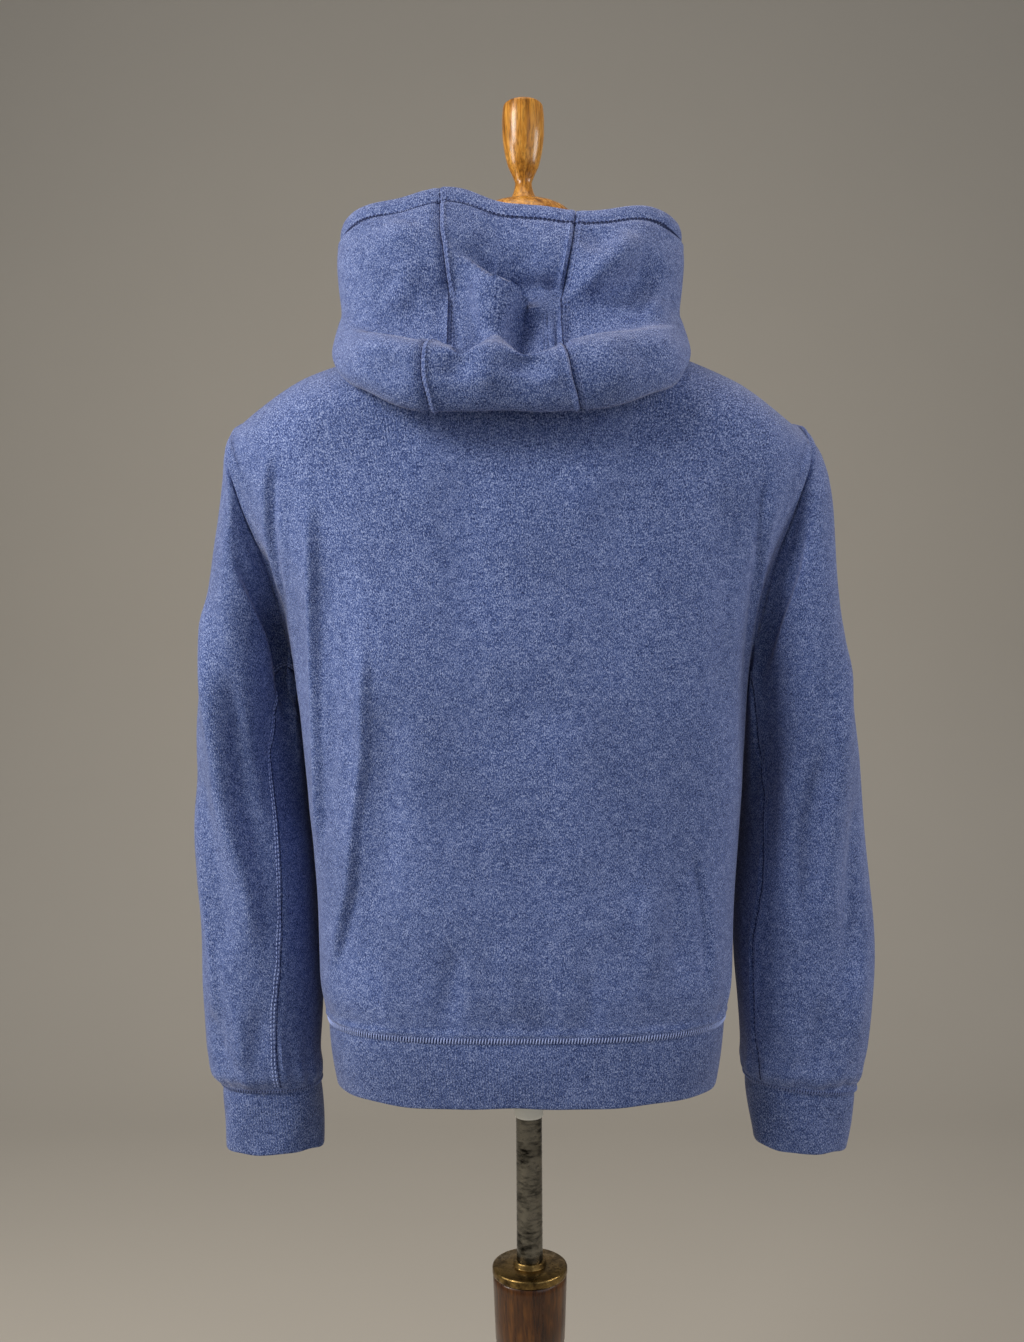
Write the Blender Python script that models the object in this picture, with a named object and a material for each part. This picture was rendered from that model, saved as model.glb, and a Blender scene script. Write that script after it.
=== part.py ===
"""Zip-up hoodie, hood down, on a limbless dress form with a pole stand.

Frame: metres, +Z up, origin on the floor under the pole. The garment's front faces -Y and its
left side is +X. Every piece of cloth is a wall of its own thickness on one shared surface, cut
apart at the seams.
"""

import math

import bmesh
import bpy
import numpy as np

# ---- driving sizes (metres) ----------------------------------------------------------------

SEAM_GAP = 0.0004         # between two pieces where they are sewn
FLEECE = 0.0022           # wall of the body, sleeves and hood
RIB = 0.0030              # folded rib knit of hem band and cuffs

HEM_BOTTOM = 0.781        # lower edge of the hem band
HEM_SEAM = 0.840          # seam between hem band and body
UNDERARM = 1.150          # lowest point of the armholes
RIDGE_Y = -0.004          # depth at which the shoulder seams run
SHOULDER_ROLL = 0.072     # height over which back and front close to the shoulder seam
SHOULDER_PLAN = 1.410     # height of the section that gives the shoulders' plan
SQUARENESS = 3.0          # superellipse exponent of the body's sections

NECK_HALF = 0.090         # neck point, from the centre
NECK_BACK = 1.446         # height of the neck seam at centre back
TIP_LEFT = 0.263          # shoulder tip, from the centre
TIP_RIGHT = 0.253
ARMHOLE_BEND = 1.5        # how flat the armhole's lowest stretch is
ARMHOLE_SHARES = (0.985, 0.940, 0.860, 0.720, 0.500, 0.250, 0.000)   # columns from tip to underarm

ZIP_HALF_GAP = 0.0060     # from the centre line to each front edge
CHAIN_HALF = 0.0026       # half width of the zip's chain
CHAIN_THICK = 0.0022
TAPE_THICK = 0.0008
TAPE_REACH = 0.0150       # how far each tape reaches behind its front

POLE_RADIUS = 0.0121
COLUMN_TOP = 0.597
FINIAL_TOP = 1.686
FLOOR_GAP = 0.0003

# ---- tables --------------------------------------------------------------------------------

# One row per height: half width left and right, depth to the back and to the front.
BODY_SECTIONS = {
    "height": (0.781, 0.840, 0.880, 0.930, 1.000, 1.080, 1.150, 1.200, 1.240, 1.270, 1.300, 1.340, 1.385, 1.460),
    "left":   (0.175, 0.183, 0.189, 0.191, 0.197, 0.205, 0.212, 0.222, 0.236, 0.251, 0.267, 0.286, 0.298, 0.308),
    "right":  (0.171, 0.179, 0.185, 0.187, 0.192, 0.199, 0.205, 0.213, 0.225, 0.239, 0.254, 0.274, 0.287, 0.298),
    "back":   (0.118, 0.122, 0.128, 0.129, 0.132, 0.136, 0.139, 0.140, 0.140, 0.139, 0.138, 0.136, 0.133, 0.128),
    "front":  (0.116, 0.120, 0.127, 0.130, 0.136, 0.142, 0.144, 0.142, 0.140, 0.137, 0.133, 0.128, 0.122, 0.114),
}

# Height of the shoulder line against distance from the centre.
SHOULDER_LINE = {
    "across": (0.000, 0.060, 0.090, 0.130, 0.165, 0.195, 0.215, 0.235, 0.250, 0.263, 0.275),
    "left":   (1.466, 1.460, 1.453, 1.442, 1.432, 1.422, 1.414, 1.403, 1.393, 1.380, 1.362),
    "right":  (1.466, 1.460, 1.453, 1.440, 1.427, 1.414, 1.403, 1.391, 1.380, 1.366, 1.346),
}

# Neck seam of each front, from the zip edge to the shoulder seam.
NECK_FRONT = {
    "across": (ZIP_HALF_GAP, 0.034, 0.058, 0.074, 0.083, 0.088, NECK_HALF),
    "height": (1.382, 1.386, 1.400, 1.418, 1.434, 1.446, 1.453),
}

# Sleeve sections by height: outer and inner edge across, back and front edge in depth.
SLEEVE_LEFT = {
    "height": (0.771, 0.785, 0.805, 0.840, 0.880, 0.950, 1.010, 1.070, 1.150, 1.210, 1.290, 1.340, 1.380),
    "outer":  (0.285, 0.293, 0.299, 0.302, 0.305, 0.308, 0.309, 0.305, 0.299, 0.295, 0.294, 0.291, 0.278),
    "inner":  (0.1945, 0.194, 0.194, 0.1945, 0.196, 0.199, 0.204, 0.211, 0.219, 0.228, 0.240, 0.248, 0.251),
    "back":   (0.036, 0.042, 0.047, 0.050, 0.052, 0.056, 0.062, 0.070, 0.079, 0.084, 0.080, 0.070, 0.048),
    "front":  (-0.038, -0.046, -0.052, -0.056, -0.060, -0.070, -0.080, -0.090, -0.099, -0.101, -0.095, -0.085, -0.060),
}
SLEEVE_RIGHT = {
    "height": (0.771, 0.785, 0.805, 0.840, 0.880, 0.950, 1.010, 1.070, 1.150, 1.210, 1.290, 1.340, 1.370),
    "outer":  (0.304, 0.310, 0.315, 0.318, 0.319, 0.318, 0.315, 0.310, 0.299, 0.292, 0.286, 0.280, 0.266),
    "inner":  (0.203, 0.200, 0.198, 0.196, 0.195, 0.196, 0.200, 0.207, 0.2145, 0.223, 0.233, 0.240, 0.243),
    "back":   (0.038, 0.045, 0.049, 0.051, 0.053, 0.057, 0.063, 0.071, 0.080, 0.084, 0.079, 0.066, 0.044),
    "front":  (-0.040, -0.048, -0.054, -0.057, -0.061, -0.071, -0.081, -0.091, -0.099, -0.100, -0.092, -0.076, -0.052),
}

# Cuffs: height of seam and lower edge at the outer and inner side, and the lower edge's reach.
CUFF_LEFT = {"seam_out": 0.771, "seam_in": 0.771, "edge_out": 0.711, "edge_in": 0.711,
             "outer": 0.282, "inner": 0.1925, "back": 0.030, "front": -0.031}
CUFF_RIGHT = {"seam_out": 0.763, "seam_in": 0.774, "edge_out": 0.706, "edge_in": 0.713,
              "outer": 0.294, "inner": 0.2095, "back": 0.031, "front": -0.032}

# Hood rings from neck seam to rim: reach to back, side and front, depth at which the ring is
# widest; height at back, at the back corner, at the widest point and at the front.
HOOD_RINGS = {
    "back":     (0.086, 0.104, 0.126, 0.141, 0.152, 0.170, 0.186, 0.187, 0.174, 0.156, 0.149, 0.143, 0.122),
    "side":     (0.096, 0.111, 0.124, 0.134, 0.143, 0.151, 0.156, 0.154, 0.151, 0.149, 0.152, 0.154, 0.153),
    "front":    (0.121, 0.122, 0.123, 0.124, 0.125, 0.126, 0.127, 0.128, 0.129, 0.130, 0.131, 0.132, 0.133),
    "widest":   (0.005, 0.015, 0.025, 0.035, 0.045, 0.050, 0.050, 0.048, 0.045, 0.040, 0.035, 0.030, 0.020),
    "z_back":   (1.462, 1.474, 1.464, 1.424, 1.378, 1.358, 1.374, 1.404, 1.418, 1.428, 1.466, 1.507, 1.549),
    "z_corner": (1.468, 1.480, 1.474, 1.444, 1.404, 1.384, 1.394, 1.416, 1.432, 1.446, 1.478, 1.514, 1.556),
    "z_side":   (1.474, 1.486, 1.484, 1.468, 1.447, 1.434, 1.438, 1.448, 1.460, 1.472, 1.496, 1.522, 1.548),
    "z_front":  (1.386, 1.389, 1.392, 1.395, 1.398, 1.401, 1.404, 1.407, 1.410, 1.413, 1.417, 1.421, 1.425),
}
HOOD_FLAT = 0.22          # share of the back quarter over which a ring stays level
HOOD_CORNER = 0.60        # share of it at which the corner height holds
HOOD_SHIFT = 0.012        # the hood sits this far to the garment's left
HOOD_CLEAR = 0.0040       # outer side of the hood over the shoulders it lies on
CENTRE_HALF = 0.060       # half width of the hood's centre panel

# The rim's own rise and fall, by distance across from the hood's middle.
RIM_WAVE = {
    "across": (-0.160, -0.120, -0.060, 0.000, 0.055, 0.110, 0.160),
    "rise":   (-0.002, 0.004, -0.006, -0.003, 0.010, 0.003, -0.002),
}

# Folds of the body: where they run across at the top and bottom, their heights, width and rise.
BODY_FOLDS = (
    # across_top, across_low, top, low, width, rise
    (0.236, 0.236, 1.355, 1.240, 0.011, 0.0040),
    (0.200, 0.196, 1.330, 0.900, 0.010, 0.0035),
    (0.150, 0.176, 1.180, 0.860, 0.012, 0.0040),
    (-0.205, -0.196, 1.330, 1.050, 0.012, 0.0035),
    (-0.150, -0.158, 1.050, 0.870, 0.014, 0.0030),
)


# ---- small maths -----------------------------------------------------------------------------

def unit(vectors):
    """Vectors scaled to length one."""
    length = np.linalg.norm(vectors, axis=-1, keepdims=True)
    return vectors / np.maximum(length, 1e-12)


def smooth(xs, ys, x):
    """Monotone cubic through the points (xs, ys), read at x."""
    xs, ys, x = (np.asarray(a, float) for a in (xs, ys, x))
    step = np.diff(xs)
    slope = np.diff(ys) / step
    tangent = np.concatenate([slope[:1], np.zeros(len(xs) - 2), slope[-1:]])
    same = slope[:-1] * slope[1:] > 0
    inner = np.zeros(len(xs) - 2)
    inner[same] = 2 * slope[:-1][same] * slope[1:][same] / (slope[:-1][same] + slope[1:][same])
    tangent[1:-1] = inner
    i = np.clip(np.searchsorted(xs, x, side="right") - 1, 0, len(xs) - 2)
    t = np.clip((x - xs[i]) / step[i], 0, 1)
    return ((2 * t**3 - 3 * t**2 + 1) * ys[i] + (t**3 - 2 * t**2 + t) * step[i] * tangent[i]
            + (3 * t**2 - 2 * t**3) * ys[i + 1] + (t**3 - t**2) * step[i] * tangent[i + 1])


def bell(distance, width):
    """A soft bump of height one."""
    return np.exp(-((distance / width) ** 2))


def fade(x, low, high):
    """0 below low, 1 above high, eased between."""
    t = np.clip((x - low) / (high - low), 0, 1)
    return t * t * (3 - 2 * t)


def power(value, squareness):
    """Signed power that turns a circle's sine or cosine into a superellipse's."""
    return np.sign(value) * np.abs(value) ** (2 / squareness)


# ---- the body's surface ------------------------------------------------------------------------

def body_row(column, height):
    return smooth(BODY_SECTIONS["height"], BODY_SECTIONS[column], height)


def half_width(height, side):
    """Half width of the section at this height; side is +1 on the left, -1 on the right."""
    return np.where(side > 0, body_row("left", height), body_row("right", height))


def shoulder_height(across):
    """Height of the shoulder line at this distance across."""
    left = smooth(SHOULDER_LINE["across"], SHOULDER_LINE["left"], np.abs(across))
    right = smooth(SHOULDER_LINE["across"], SHOULDER_LINE["right"], np.abs(across))
    return np.where(across > 0, left, right)


def tip_of(side):
    return TIP_LEFT if side > 0 else TIP_RIGHT


def angle_at(across, height, side):
    """Section angle, from the centre line, at which the section is this far across."""
    share = abs(across) / float(half_width(height, side))
    return math.asin(min(1.0, share) ** (SQUARENESS / 2))


def body_folds(across, height, back):
    """How far the folds lift the surface of the back; the fronts carry them mirrored and lower."""
    rise = np.zeros(np.broadcast(across, height).shape)
    for top_x, low_x, top, low, width, lift in BODY_FOLDS:
        share = np.clip((height - low) / (top - low), 0, 1)
        line = low_x + (top_x - low_x) * share
        run = fade(height, low - 0.03, low + 0.04) * (1 - fade(height, top - 0.03, top + 0.03))
        rise = rise + lift * run * np.where(back, bell(across - line, width), 0.7 * bell(across + line, width))
    return rise


def body_point(angle, height):
    """Point of the body's outer surface. Angle 0 is centre back, +90 degrees the left side."""
    side = np.where(np.sin(angle) >= 0, 1.0, -1.0)
    back = np.cos(angle) >= 0
    across = half_width(height, side) * power(np.sin(angle), SQUARENESS)
    depth = np.where(back, body_row("back", height), body_row("front", height)) * power(np.cos(angle), SQUARENESS)
    rise = body_folds(across, height, back) * np.abs(np.cos(angle)) ** 0.3
    depth = depth + np.where(back, 1, -1) * rise
    roll_start = shoulder_height(across) - SHOULDER_ROLL
    closing = np.sqrt(np.clip(1 - np.clip((height - roll_start) / SHOULDER_ROLL, 0, 1) ** 2, 0, 1))
    return np.stack([across, RIDGE_Y + (depth - RIDGE_Y) * closing, height + 0 * across], axis=-1)


def shoulder_surface(across, depth):
    """Height of the cloth's outer surface over the shoulders as seen from above, 0 outside them."""
    behind = depth > RIDGE_Y
    reach = np.where(behind, body_row("back", SHOULDER_PLAN), body_row("front", SHOULDER_PLAN))
    wide = half_width(SHOULDER_PLAN, np.where(across > 0, 1, -1))
    reach = reach * np.clip(1 - (np.abs(across) / wide) ** SQUARENESS, 0, 1) ** (1 / SQUARENESS)
    reach = np.maximum(reach, 0.001) + np.where(behind, -RIDGE_Y, RIDGE_Y)
    share = np.abs(depth - RIDGE_Y) / reach
    closing = np.sqrt(np.clip(1 - share**2, 0, 1))
    return np.where(share < 1, shoulder_height(across) + SHOULDER_ROLL * (closing - 1), 0)


NECK_STEPS = (0, 20, 40, 65, 90)     # degrees round the back of the neck, centre to neck point
SHOULDER_STEPS = 5                   # columns between neck point and shoulder tip


def neck_columns_of(side, back):
    """(distance across, height) at which each column under the neck seam ends, centre first."""
    top = float(shoulder_height(np.array(side * NECK_HALF)))
    if back:
        shares = [math.sin(math.radians(step)) for step in NECK_STEPS]
        return [(NECK_HALF * share, NECK_BACK + (top - NECK_BACK) * share**2) for share in shares]
    return list(zip(NECK_FRONT["across"], NECK_FRONT["height"][:-1] + (top,)))


def columns_of_quarter(side, back):
    """(angle low down, angle at the top, height of the top) of each column, centre first.

    Low down the columns stand evenly; towards the top they close up under the neck."""
    tip = tip_of(side)
    tip_height = float(shoulder_height(np.array(side * tip)))
    tops = [(angle_at(across, height, side), height) for across, height in neck_columns_of(side, back)]
    for step in range(1, SHOULDER_STEPS + 1):
        across = NECK_HALF + (tip - NECK_HALF) * step / SHOULDER_STEPS
        height = float(shoulder_height(np.array(side * across)))
        tops.append((angle_at(across, height, side), height))
    tip_angle = tops[-1][0]
    low_tip = tip_angle - TIP_FAN
    reach = math.sin(low_tip) ** (2 / SQUARENESS)
    columns = []
    for number, (angle, height) in enumerate(tops):
        even = math.asin((reach * number / (len(tops) - 1)) ** (SQUARENESS / 2))
        columns.append((even, angle, height))
    for number, share in enumerate(ARMHOLE_SHARES):
        even = low_tip + (math.pi / 2 - low_tip) * (number + 1) / len(ARMHOLE_SHARES)
        angle = math.pi / 2 - (math.pi / 2 - tip_angle) * share
        columns.append((even, angle, UNDERARM + (tip_height - UNDERARM) * share**ARMHOLE_BEND))
    return columns


def body_columns():
    """Columns once round from the right edge of the zip by the back to its left edge."""
    right_front = [(-(math.pi - low), -(math.pi - top), z) for low, top, z in columns_of_quarter(-1, False)]
    right_back = [(-low, -top, z) for low, top, z in columns_of_quarter(-1, True)][::-1]
    left_back = columns_of_quarter(1, True)
    left_front = [(math.pi - low, math.pi - top, z) for low, top, z in columns_of_quarter(1, False)][::-1]
    return right_front + right_back[1:] + left_back[1:] + left_front[1:]


BODY_ROWS = 14
FAN_LOW = 0.900            # above this height the columns turn towards their tops
TIP_FAN = math.radians(26)  # how far the column under a shoulder tip turns


def body_normals(angles, heights):
    """Outward normals of the body's surface, from its slopes."""
    round_it = body_point(angles + 1e-3, heights) - body_point(angles - 1e-3, heights)
    up_it = body_point(angles, heights) - body_point(angles, heights - 2e-4)
    return unit(np.cross(up_it, round_it))


def column_angles(low, top, end, heights):
    """A column's angle at these heights: it turns from low to top, faster towards its end."""
    return low + (top - low) * np.clip((heights - FAN_LOW) / (end - FAN_LOW), 0, 1) ** 2


def body_column(low, top, end):
    """Points up one column, spread by length, from the hem seam to the column's end."""
    # Near the shoulder line the surface turns level, so heights are crowded there.
    crowd = 1 - (1 - np.linspace(0, 1, 160)) ** 2
    heights = HEM_SEAM + (end - HEM_SEAM) * crowd
    path = body_point(column_angles(low, top, end, heights), heights)
    run = np.concatenate([[0], np.cumsum(np.linalg.norm(np.diff(path, axis=0), axis=1))])
    wanted = np.linspace(0, run[-1], BODY_ROWS + 1)
    return np.stack([np.interp(wanted, run, path[:, k]) for k in range(3)], axis=-1)


def grid_normals(grid, closed=False):
    """Unit normals of a grid of points [row][column], pointing to the left of row x column."""
    if closed:
        across = np.roll(grid, -1, axis=1) - np.roll(grid, 1, axis=1)
    else:
        across = np.gradient(grid, axis=1)
    up = np.gradient(grid, axis=0)
    return unit(np.cross(across, up))


# ---- seams and walls -----------------------------------------------------------------------------

class Seam:
    """Edge shared by two pieces: outer points, inner points and the way across it."""

    def __init__(self, points, normals, to_second, turn, folded=0.0):
        """Turn is 1 where the second piece lies to the right of the points' run, else -1."""
        along = unit(np.gradient(points, axis=0))
        leave = unit(np.cross(along, normals)) * turn
        enter = unit(to_second - along * np.sum(to_second * along, axis=1, keepdims=True))
        # Where the second piece folds back over the first, the way across is the first's normal.
        way = leave + enter + normals * folded
        way = unit(way - along * np.sum(way * along, axis=1, keepdims=True))
        self.outer = points
        self.inner = points + np.cross(along, way) * turn * FLEECE
        self.way = way

    def first(self):
        """Outer and inner edge of the piece before the seam."""
        back = self.way * SEAM_GAP / 2
        return self.outer - back, self.inner - back

    def second(self):
        """Outer and inner edge of the piece after the seam."""
        on = self.way * SEAM_GAP / 2
        return self.outer + on, self.inner + on


def between(points, parts):
    """The polyline with each side cut into as many equal parts as parts says for it."""
    made = [points[0]]
    for start, end, count in zip(points[:-1], points[1:], parts):
        for k in range(1, count + 1):
            made.append(start + (end - start) * k / count)
    return np.array(made)


def wall_mesh(outer, inner, closed=False):
    """Vertices and faces of a wall between two grids [row][column], outer side facing out."""
    rows, columns = outer.shape[:2]
    vertices = np.concatenate([outer.reshape(-1, 3), inner.reshape(-1, 3)])
    inside = rows * columns

    def at(row, column):
        return row * columns + column % columns

    faces = []
    spans = columns if closed else columns - 1
    for row in range(rows - 1):
        for column in range(spans):
            quad = (at(row, column), at(row, column + 1), at(row + 1, column + 1), at(row + 1, column))
            faces.append(quad)
            faces.append(tuple(inside + k for k in reversed(quad)))
    for column in range(spans):
        low, low_next = at(0, column), at(0, column + 1)
        faces.append((low, inside + low, inside + low_next, low_next))
        top, top_next = at(rows - 1, column), at(rows - 1, column + 1)
        faces.append((top, top_next, inside + top_next, inside + top))
    if not closed:
        for row in range(rows - 1):
            first, first_up = at(row, 0), at(row + 1, 0)
            faces.append((first, first_up, inside + first_up, inside + first))
            last, last_up = at(row, columns - 1), at(row + 1, columns - 1)
            faces.append((last, inside + last, inside + last_up, last_up))
    return vertices, faces


# ---- Blender objects -------------------------------------------------------------------------------

def material(name, colour, roughness, metallic=0.0):
    made = bpy.data.materials.new(name)
    made.use_nodes = True
    shader = made.node_tree.nodes["Principled BSDF"]
    shader.inputs["Base Color"].default_value = (*colour, 1.0)
    shader.inputs["Roughness"].default_value = roughness
    shader.inputs["Metallic"].default_value = metallic
    made.diffuse_color = (*colour, 1.0)
    return made


def add_object(name, vertices, faces, look, origin=(0, 0, 0)):
    """A mesh object whose origin is at the given point, with its faces turned outwards."""
    mesh = bpy.data.meshes.new(name)
    shifted = np.asarray(vertices, float) - np.asarray(origin, float)
    mesh.from_pydata([tuple(v) for v in shifted], [], [tuple(f) for f in faces])
    shape = bmesh.new()
    shape.from_mesh(mesh)
    bmesh.ops.triangulate(shape, faces=shape.faces[:])
    bmesh.ops.recalc_face_normals(shape, faces=shape.faces[:])
    shape.to_mesh(mesh)
    shape.free()
    mesh.materials.append(look)
    mesh.shade_smooth()
    mesh.set_sharp_from_angle(angle=math.radians(50))
    made = bpy.data.objects.new(name, mesh)
    made.location = origin
    bpy.context.scene.collection.objects.link(made)
    return made


def add_wall(name, outer, inner, look, closed=False):
    return add_object(name, *wall_mesh(outer, inner, closed), look)


def add_turned(name, profile, segments, look, hollow=False):
    """A turned piece: profile is (radius, height) up its outer side, closed by end discs, or,
    when hollow, a loop that goes up the outside and down the inside."""
    vertices = []
    faces = []
    angles = [2 * math.pi * k / segments for k in range(segments)]
    for radius, height in profile:
        vertices += [(radius * math.cos(a), radius * math.sin(a), height) for a in angles]
    rings = len(profile)
    for ring in range(rings if hollow else rings - 1):
        low, high = ring * segments, (ring + 1) % rings * segments
        for k in range(segments):
            n = (k + 1) % segments
            faces.append((low + k, low + n, high + n, high + k))
    if not hollow:
        faces.append(tuple(reversed(range(segments))))
        faces.append(tuple(range((rings - 1) * segments, rings * segments)))
    return add_object(name, vertices, faces, look)


# ---- body, hem band and their seams ------------------------------------------------------------------

NECK_F, NECK_B = len(NECK_FRONT["across"]) - 1, len(NECK_STEPS) - 1
ARMHOLE = len(ARMHOLE_SHARES)
# Column numbers, once round from the right edge of the zip: neck point, shoulder tip and side of
# the right front and back, then centre back, then the same up the left.
NECK_RF = NECK_F
TIP_RF = NECK_RF + SHOULDER_STEPS
SIDE_R = TIP_RF + ARMHOLE
TIP_RB = SIDE_R + ARMHOLE
NECK_RB = TIP_RB + SHOULDER_STEPS
CENTRE = NECK_RB + NECK_B
NECK_LB = CENTRE + NECK_B
TIP_LB = NECK_LB + SHOULDER_STEPS
SIDE_L = TIP_LB + ARMHOLE
TIP_LF = SIDE_L + ARMHOLE
NECK_LF = TIP_LF + SHOULDER_STEPS
ZIP_L = NECK_LF + NECK_F


def zip_edge_angles(heights, side):
    return np.array([side * (math.pi - angle_at(ZIP_HALF_GAP, z, side)) for z in heights])


def body_grid():
    """Outer points and normals of the body, [row][column], from hem seam to top edge."""
    columns = []
    normals = []
    for number, (low, top, end) in enumerate(body_columns()):
        if number in (0, ZIP_L):
            columns.append(zip_edge_column(end, 1 if number else -1))
            angles = zip_edge_angles(columns[-1][:, 2], 1 if number else -1)
        else:
            columns.append(body_column(low, top, end))
            angles = column_angles(low, top, end, columns[-1][:, 2])
        normals.append(body_normals(angles, columns[-1][:, 2]))
    return np.stack(columns, axis=1), np.stack(normals, axis=1)


def zip_edge_column(end, side):
    heights = HEM_SEAM + (end - HEM_SEAM) * np.linspace(0, 1, BODY_ROWS + 1)
    return body_point(zip_edge_angles(heights, side), heights)


def hem_grid():
    """Outer points and normals of the hem band, from its lower edge to the hem seam."""
    heights = np.array([HEM_BOTTOM, (HEM_BOTTOM + HEM_SEAM) / 2, HEM_SEAM])
    columns = []
    normals = []
    for number, (low, _, _) in enumerate(body_columns()):
        if number in (0, ZIP_L):
            angles = zip_edge_angles(heights, 1 if number else -1)
        else:
            angles = np.full(3, low)
        columns.append(body_point(angles, heights))
        normals.append(body_normals(angles, heights))
    return np.stack(columns, axis=1), np.stack(normals, axis=1)


def merged(first, second):
    """Way inwards at a corner where two seams meet."""
    return unit(unit(first) + unit(second))


def body_edges(grid, normals, sleeve_starts, hood_start):
    """Inner points of the body's top edge, and the shift that opens the seams there, by column.

    sleeve_starts maps side to the sleeve's second ring along the armhole, and hood_start is the
    hood's second ring at the neck columns."""
    ends = unit(grid[-1] - grid[-2])
    inner = grid[-1] - normals[-1] * FLEECE
    shift = np.zeros_like(inner)
    seams = {}
    for side, back, front in ((1, (NECK_LB, TIP_LB), (NECK_LF, TIP_LF)), (-1, (NECK_RB, TIP_RB), (NECK_RF, TIP_RF))):
        step = 1 if back[1] > back[0] else -1
        back_columns = list(range(back[0], back[1] + step, step))
        step = 1 if front[1] > front[0] else -1
        front_columns = list(range(front[0], front[1] + step, step))
        points = grid[-1][back_columns]
        up = np.tile((0.0, 0.0, 1.0), (len(points), 1))
        seam = Seam(points, up, -ends[front_columns], side)
        seams["shoulder", side] = seam
        for k, (b, f) in enumerate(zip(back_columns, front_columns)):
            inner[b] = inner[f] = seam.inner[k]
            shift[b] = seam.way[k]
            shift[f] = -seam.way[k]
        ring = armhole_columns(side)
        points = grid[-1][ring]
        seam = Seam(points, normals[-1][ring], sleeve_starts[side] - points, side, SLEEVE_FOLD)
        corner = merged(seam.inner[0] - points[0], seams["shoulder", side].inner[-1] - points[0])
        corner = merged(corner, merged(seam.inner[-1] - points[-1], corner))
        seam.inner[0] = seam.inner[-1] = points[0] + corner * FLEECE
        for k, column in enumerate(ring):
            inner[column] = seam.inner[k]
            shift[column] = shift[column] * (k in (0, len(ring) - 1)) + seam.way[k]
        seams["armhole", side] = seam
    ring = neck_columns()
    points = grid[-1][ring]
    seam = Seam(points, normals[-1][ring], hood_start - points, 1)
    for k, column in enumerate(ring):
        if column in (NECK_LB, NECK_RB):
            side = 1 if column == NECK_LB else -1
            corner = merged(seam.inner[k] - points[k], seams["shoulder", side].inner[0] - points[k])
            seam.inner[k] = points[k] + corner * FLEECE
            twin = NECK_LF if side > 0 else NECK_RF
            inner[twin] = seam.inner[k]
            shift[twin] = shift[twin] + seam.way[k]
            shift[column] = shift[column] + seam.way[k]
        else:
            shift[column] = seam.way[k]
        inner[column] = seam.inner[k]
    seams["neck"] = seam
    return inner, shift * SEAM_GAP / 2, seams


def armhole_columns(side):
    """Body columns round an armhole: shoulder tip, down the back, underarm, up the front."""
    if side > 0:
        return list(range(TIP_LB, TIP_LF + 1))
    return list(range(TIP_RB, TIP_RF - 1, -1))


def neck_columns():
    """Body columns round the neck, from the right edge of the zip by the back to its left edge."""
    return list(range(0, NECK_RF)) + list(range(NECK_RB, NECK_LB + 1)) + list(range(NECK_LF + 1, ZIP_L + 1))


def cut_panel(outer, inner, first, last, open_first=True, open_last=True):
    """The stretch of columns first..last, with half a seam gap taken off at each sewn side."""
    out = outer[:, first:last + 1].copy()
    ins = inner[:, first:last + 1].copy()
    for edge, neighbour, sewn in ((0, 1, open_first), (-1, -2, open_last)):
        if sewn:
            way = unit(out[:, neighbour] - out[:, edge]) * SEAM_GAP / 2
            out[:, edge] += way
            ins[:, edge] += way
    return out, ins


# ---- sleeves and cuffs ---------------------------------------------------------------------------------

SLEEVE_ROWS = 14
ARMHOLE_PARTS = 2          # sleeve columns to each body column round the armhole
SLEEVE_SQUARENESS = 2.3
SLEEVE_FOLD = 0.10         # how far the sleeve's seam turns with the body where they fold together
SETTLE = 0.42              # share of a sleeve column over which it leaves the armhole's shape
HOLLOW_ANGLE = math.radians(128)
HOLLOW_WIDTH = math.radians(38)
HOLLOW_DEPTH = 0.026


def even_angles(count, wide, deep, squareness):
    """Angles that cut a superellipse into equal lengths, starting at its outer end."""
    fine = np.linspace(0, 2 * math.pi, 721)
    path = np.stack([wide * power(np.cos(fine), squareness), deep * power(np.sin(fine), squareness)], axis=-1)
    run = np.concatenate([[0], np.cumsum(np.linalg.norm(np.diff(path, axis=0), axis=1))])
    return np.interp(np.linspace(0, run[-1], count + 1), run, fine)


def sleeve_section(table, side, angle, height):
    """Point of a hanging sleeve: angle 0 is its outer side, 90 degrees its back."""
    outer, inner, back, front = (smooth(table["height"], table[c], height) for c in ("outer", "inner", "back", "front"))
    across = (outer + inner) / 2 + (outer - inner) / 2 * power(np.cos(angle), SLEEVE_SQUARENESS)
    depth = (back + front) / 2 + (back - front) / 2 * power(np.sin(angle), SLEEVE_SQUARENESS)
    run = fade(height, 0.93, 1.10) * (1 - fade(height, 1.22, 1.30))
    depth = depth - HOLLOW_DEPTH * run * bell(angle - HOLLOW_ANGLE, HOLLOW_WIDTH)
    return np.stack([side * across, depth, height + 0 * across], axis=-1)


def sleeve_grid(side, table, cuff, armhole):
    """Outer points of a sleeve, [row][column], from the armhole down to the cuff seam."""
    start = between(armhole, [ARMHOLE_PARTS] * (len(armhole) - 1))[:-1]
    count = len(start)
    angles = even_angles(count, 0.05, 0.085, SLEEVE_SQUARENESS)[:-1]
    bottom = (cuff["seam_out"] + cuff["seam_in"]) / 2 + (cuff["seam_out"] - cuff["seam_in"]) / 2 * np.cos(angles)
    shares = np.linspace(0, 1, SLEEVE_ROWS + 1) ** 1.12
    first = sleeve_section(table, side, angles, start[:, 2])
    rows = []
    for share in shares:
        height = start[:, 2] + (bottom - start[:, 2]) * share
        leave = 1 - fade(share, 0.0, SETTLE)
        rows.append(sleeve_section(table, side, angles, height) + (start - first) * leave)
    return np.stack(rows), angles


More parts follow.
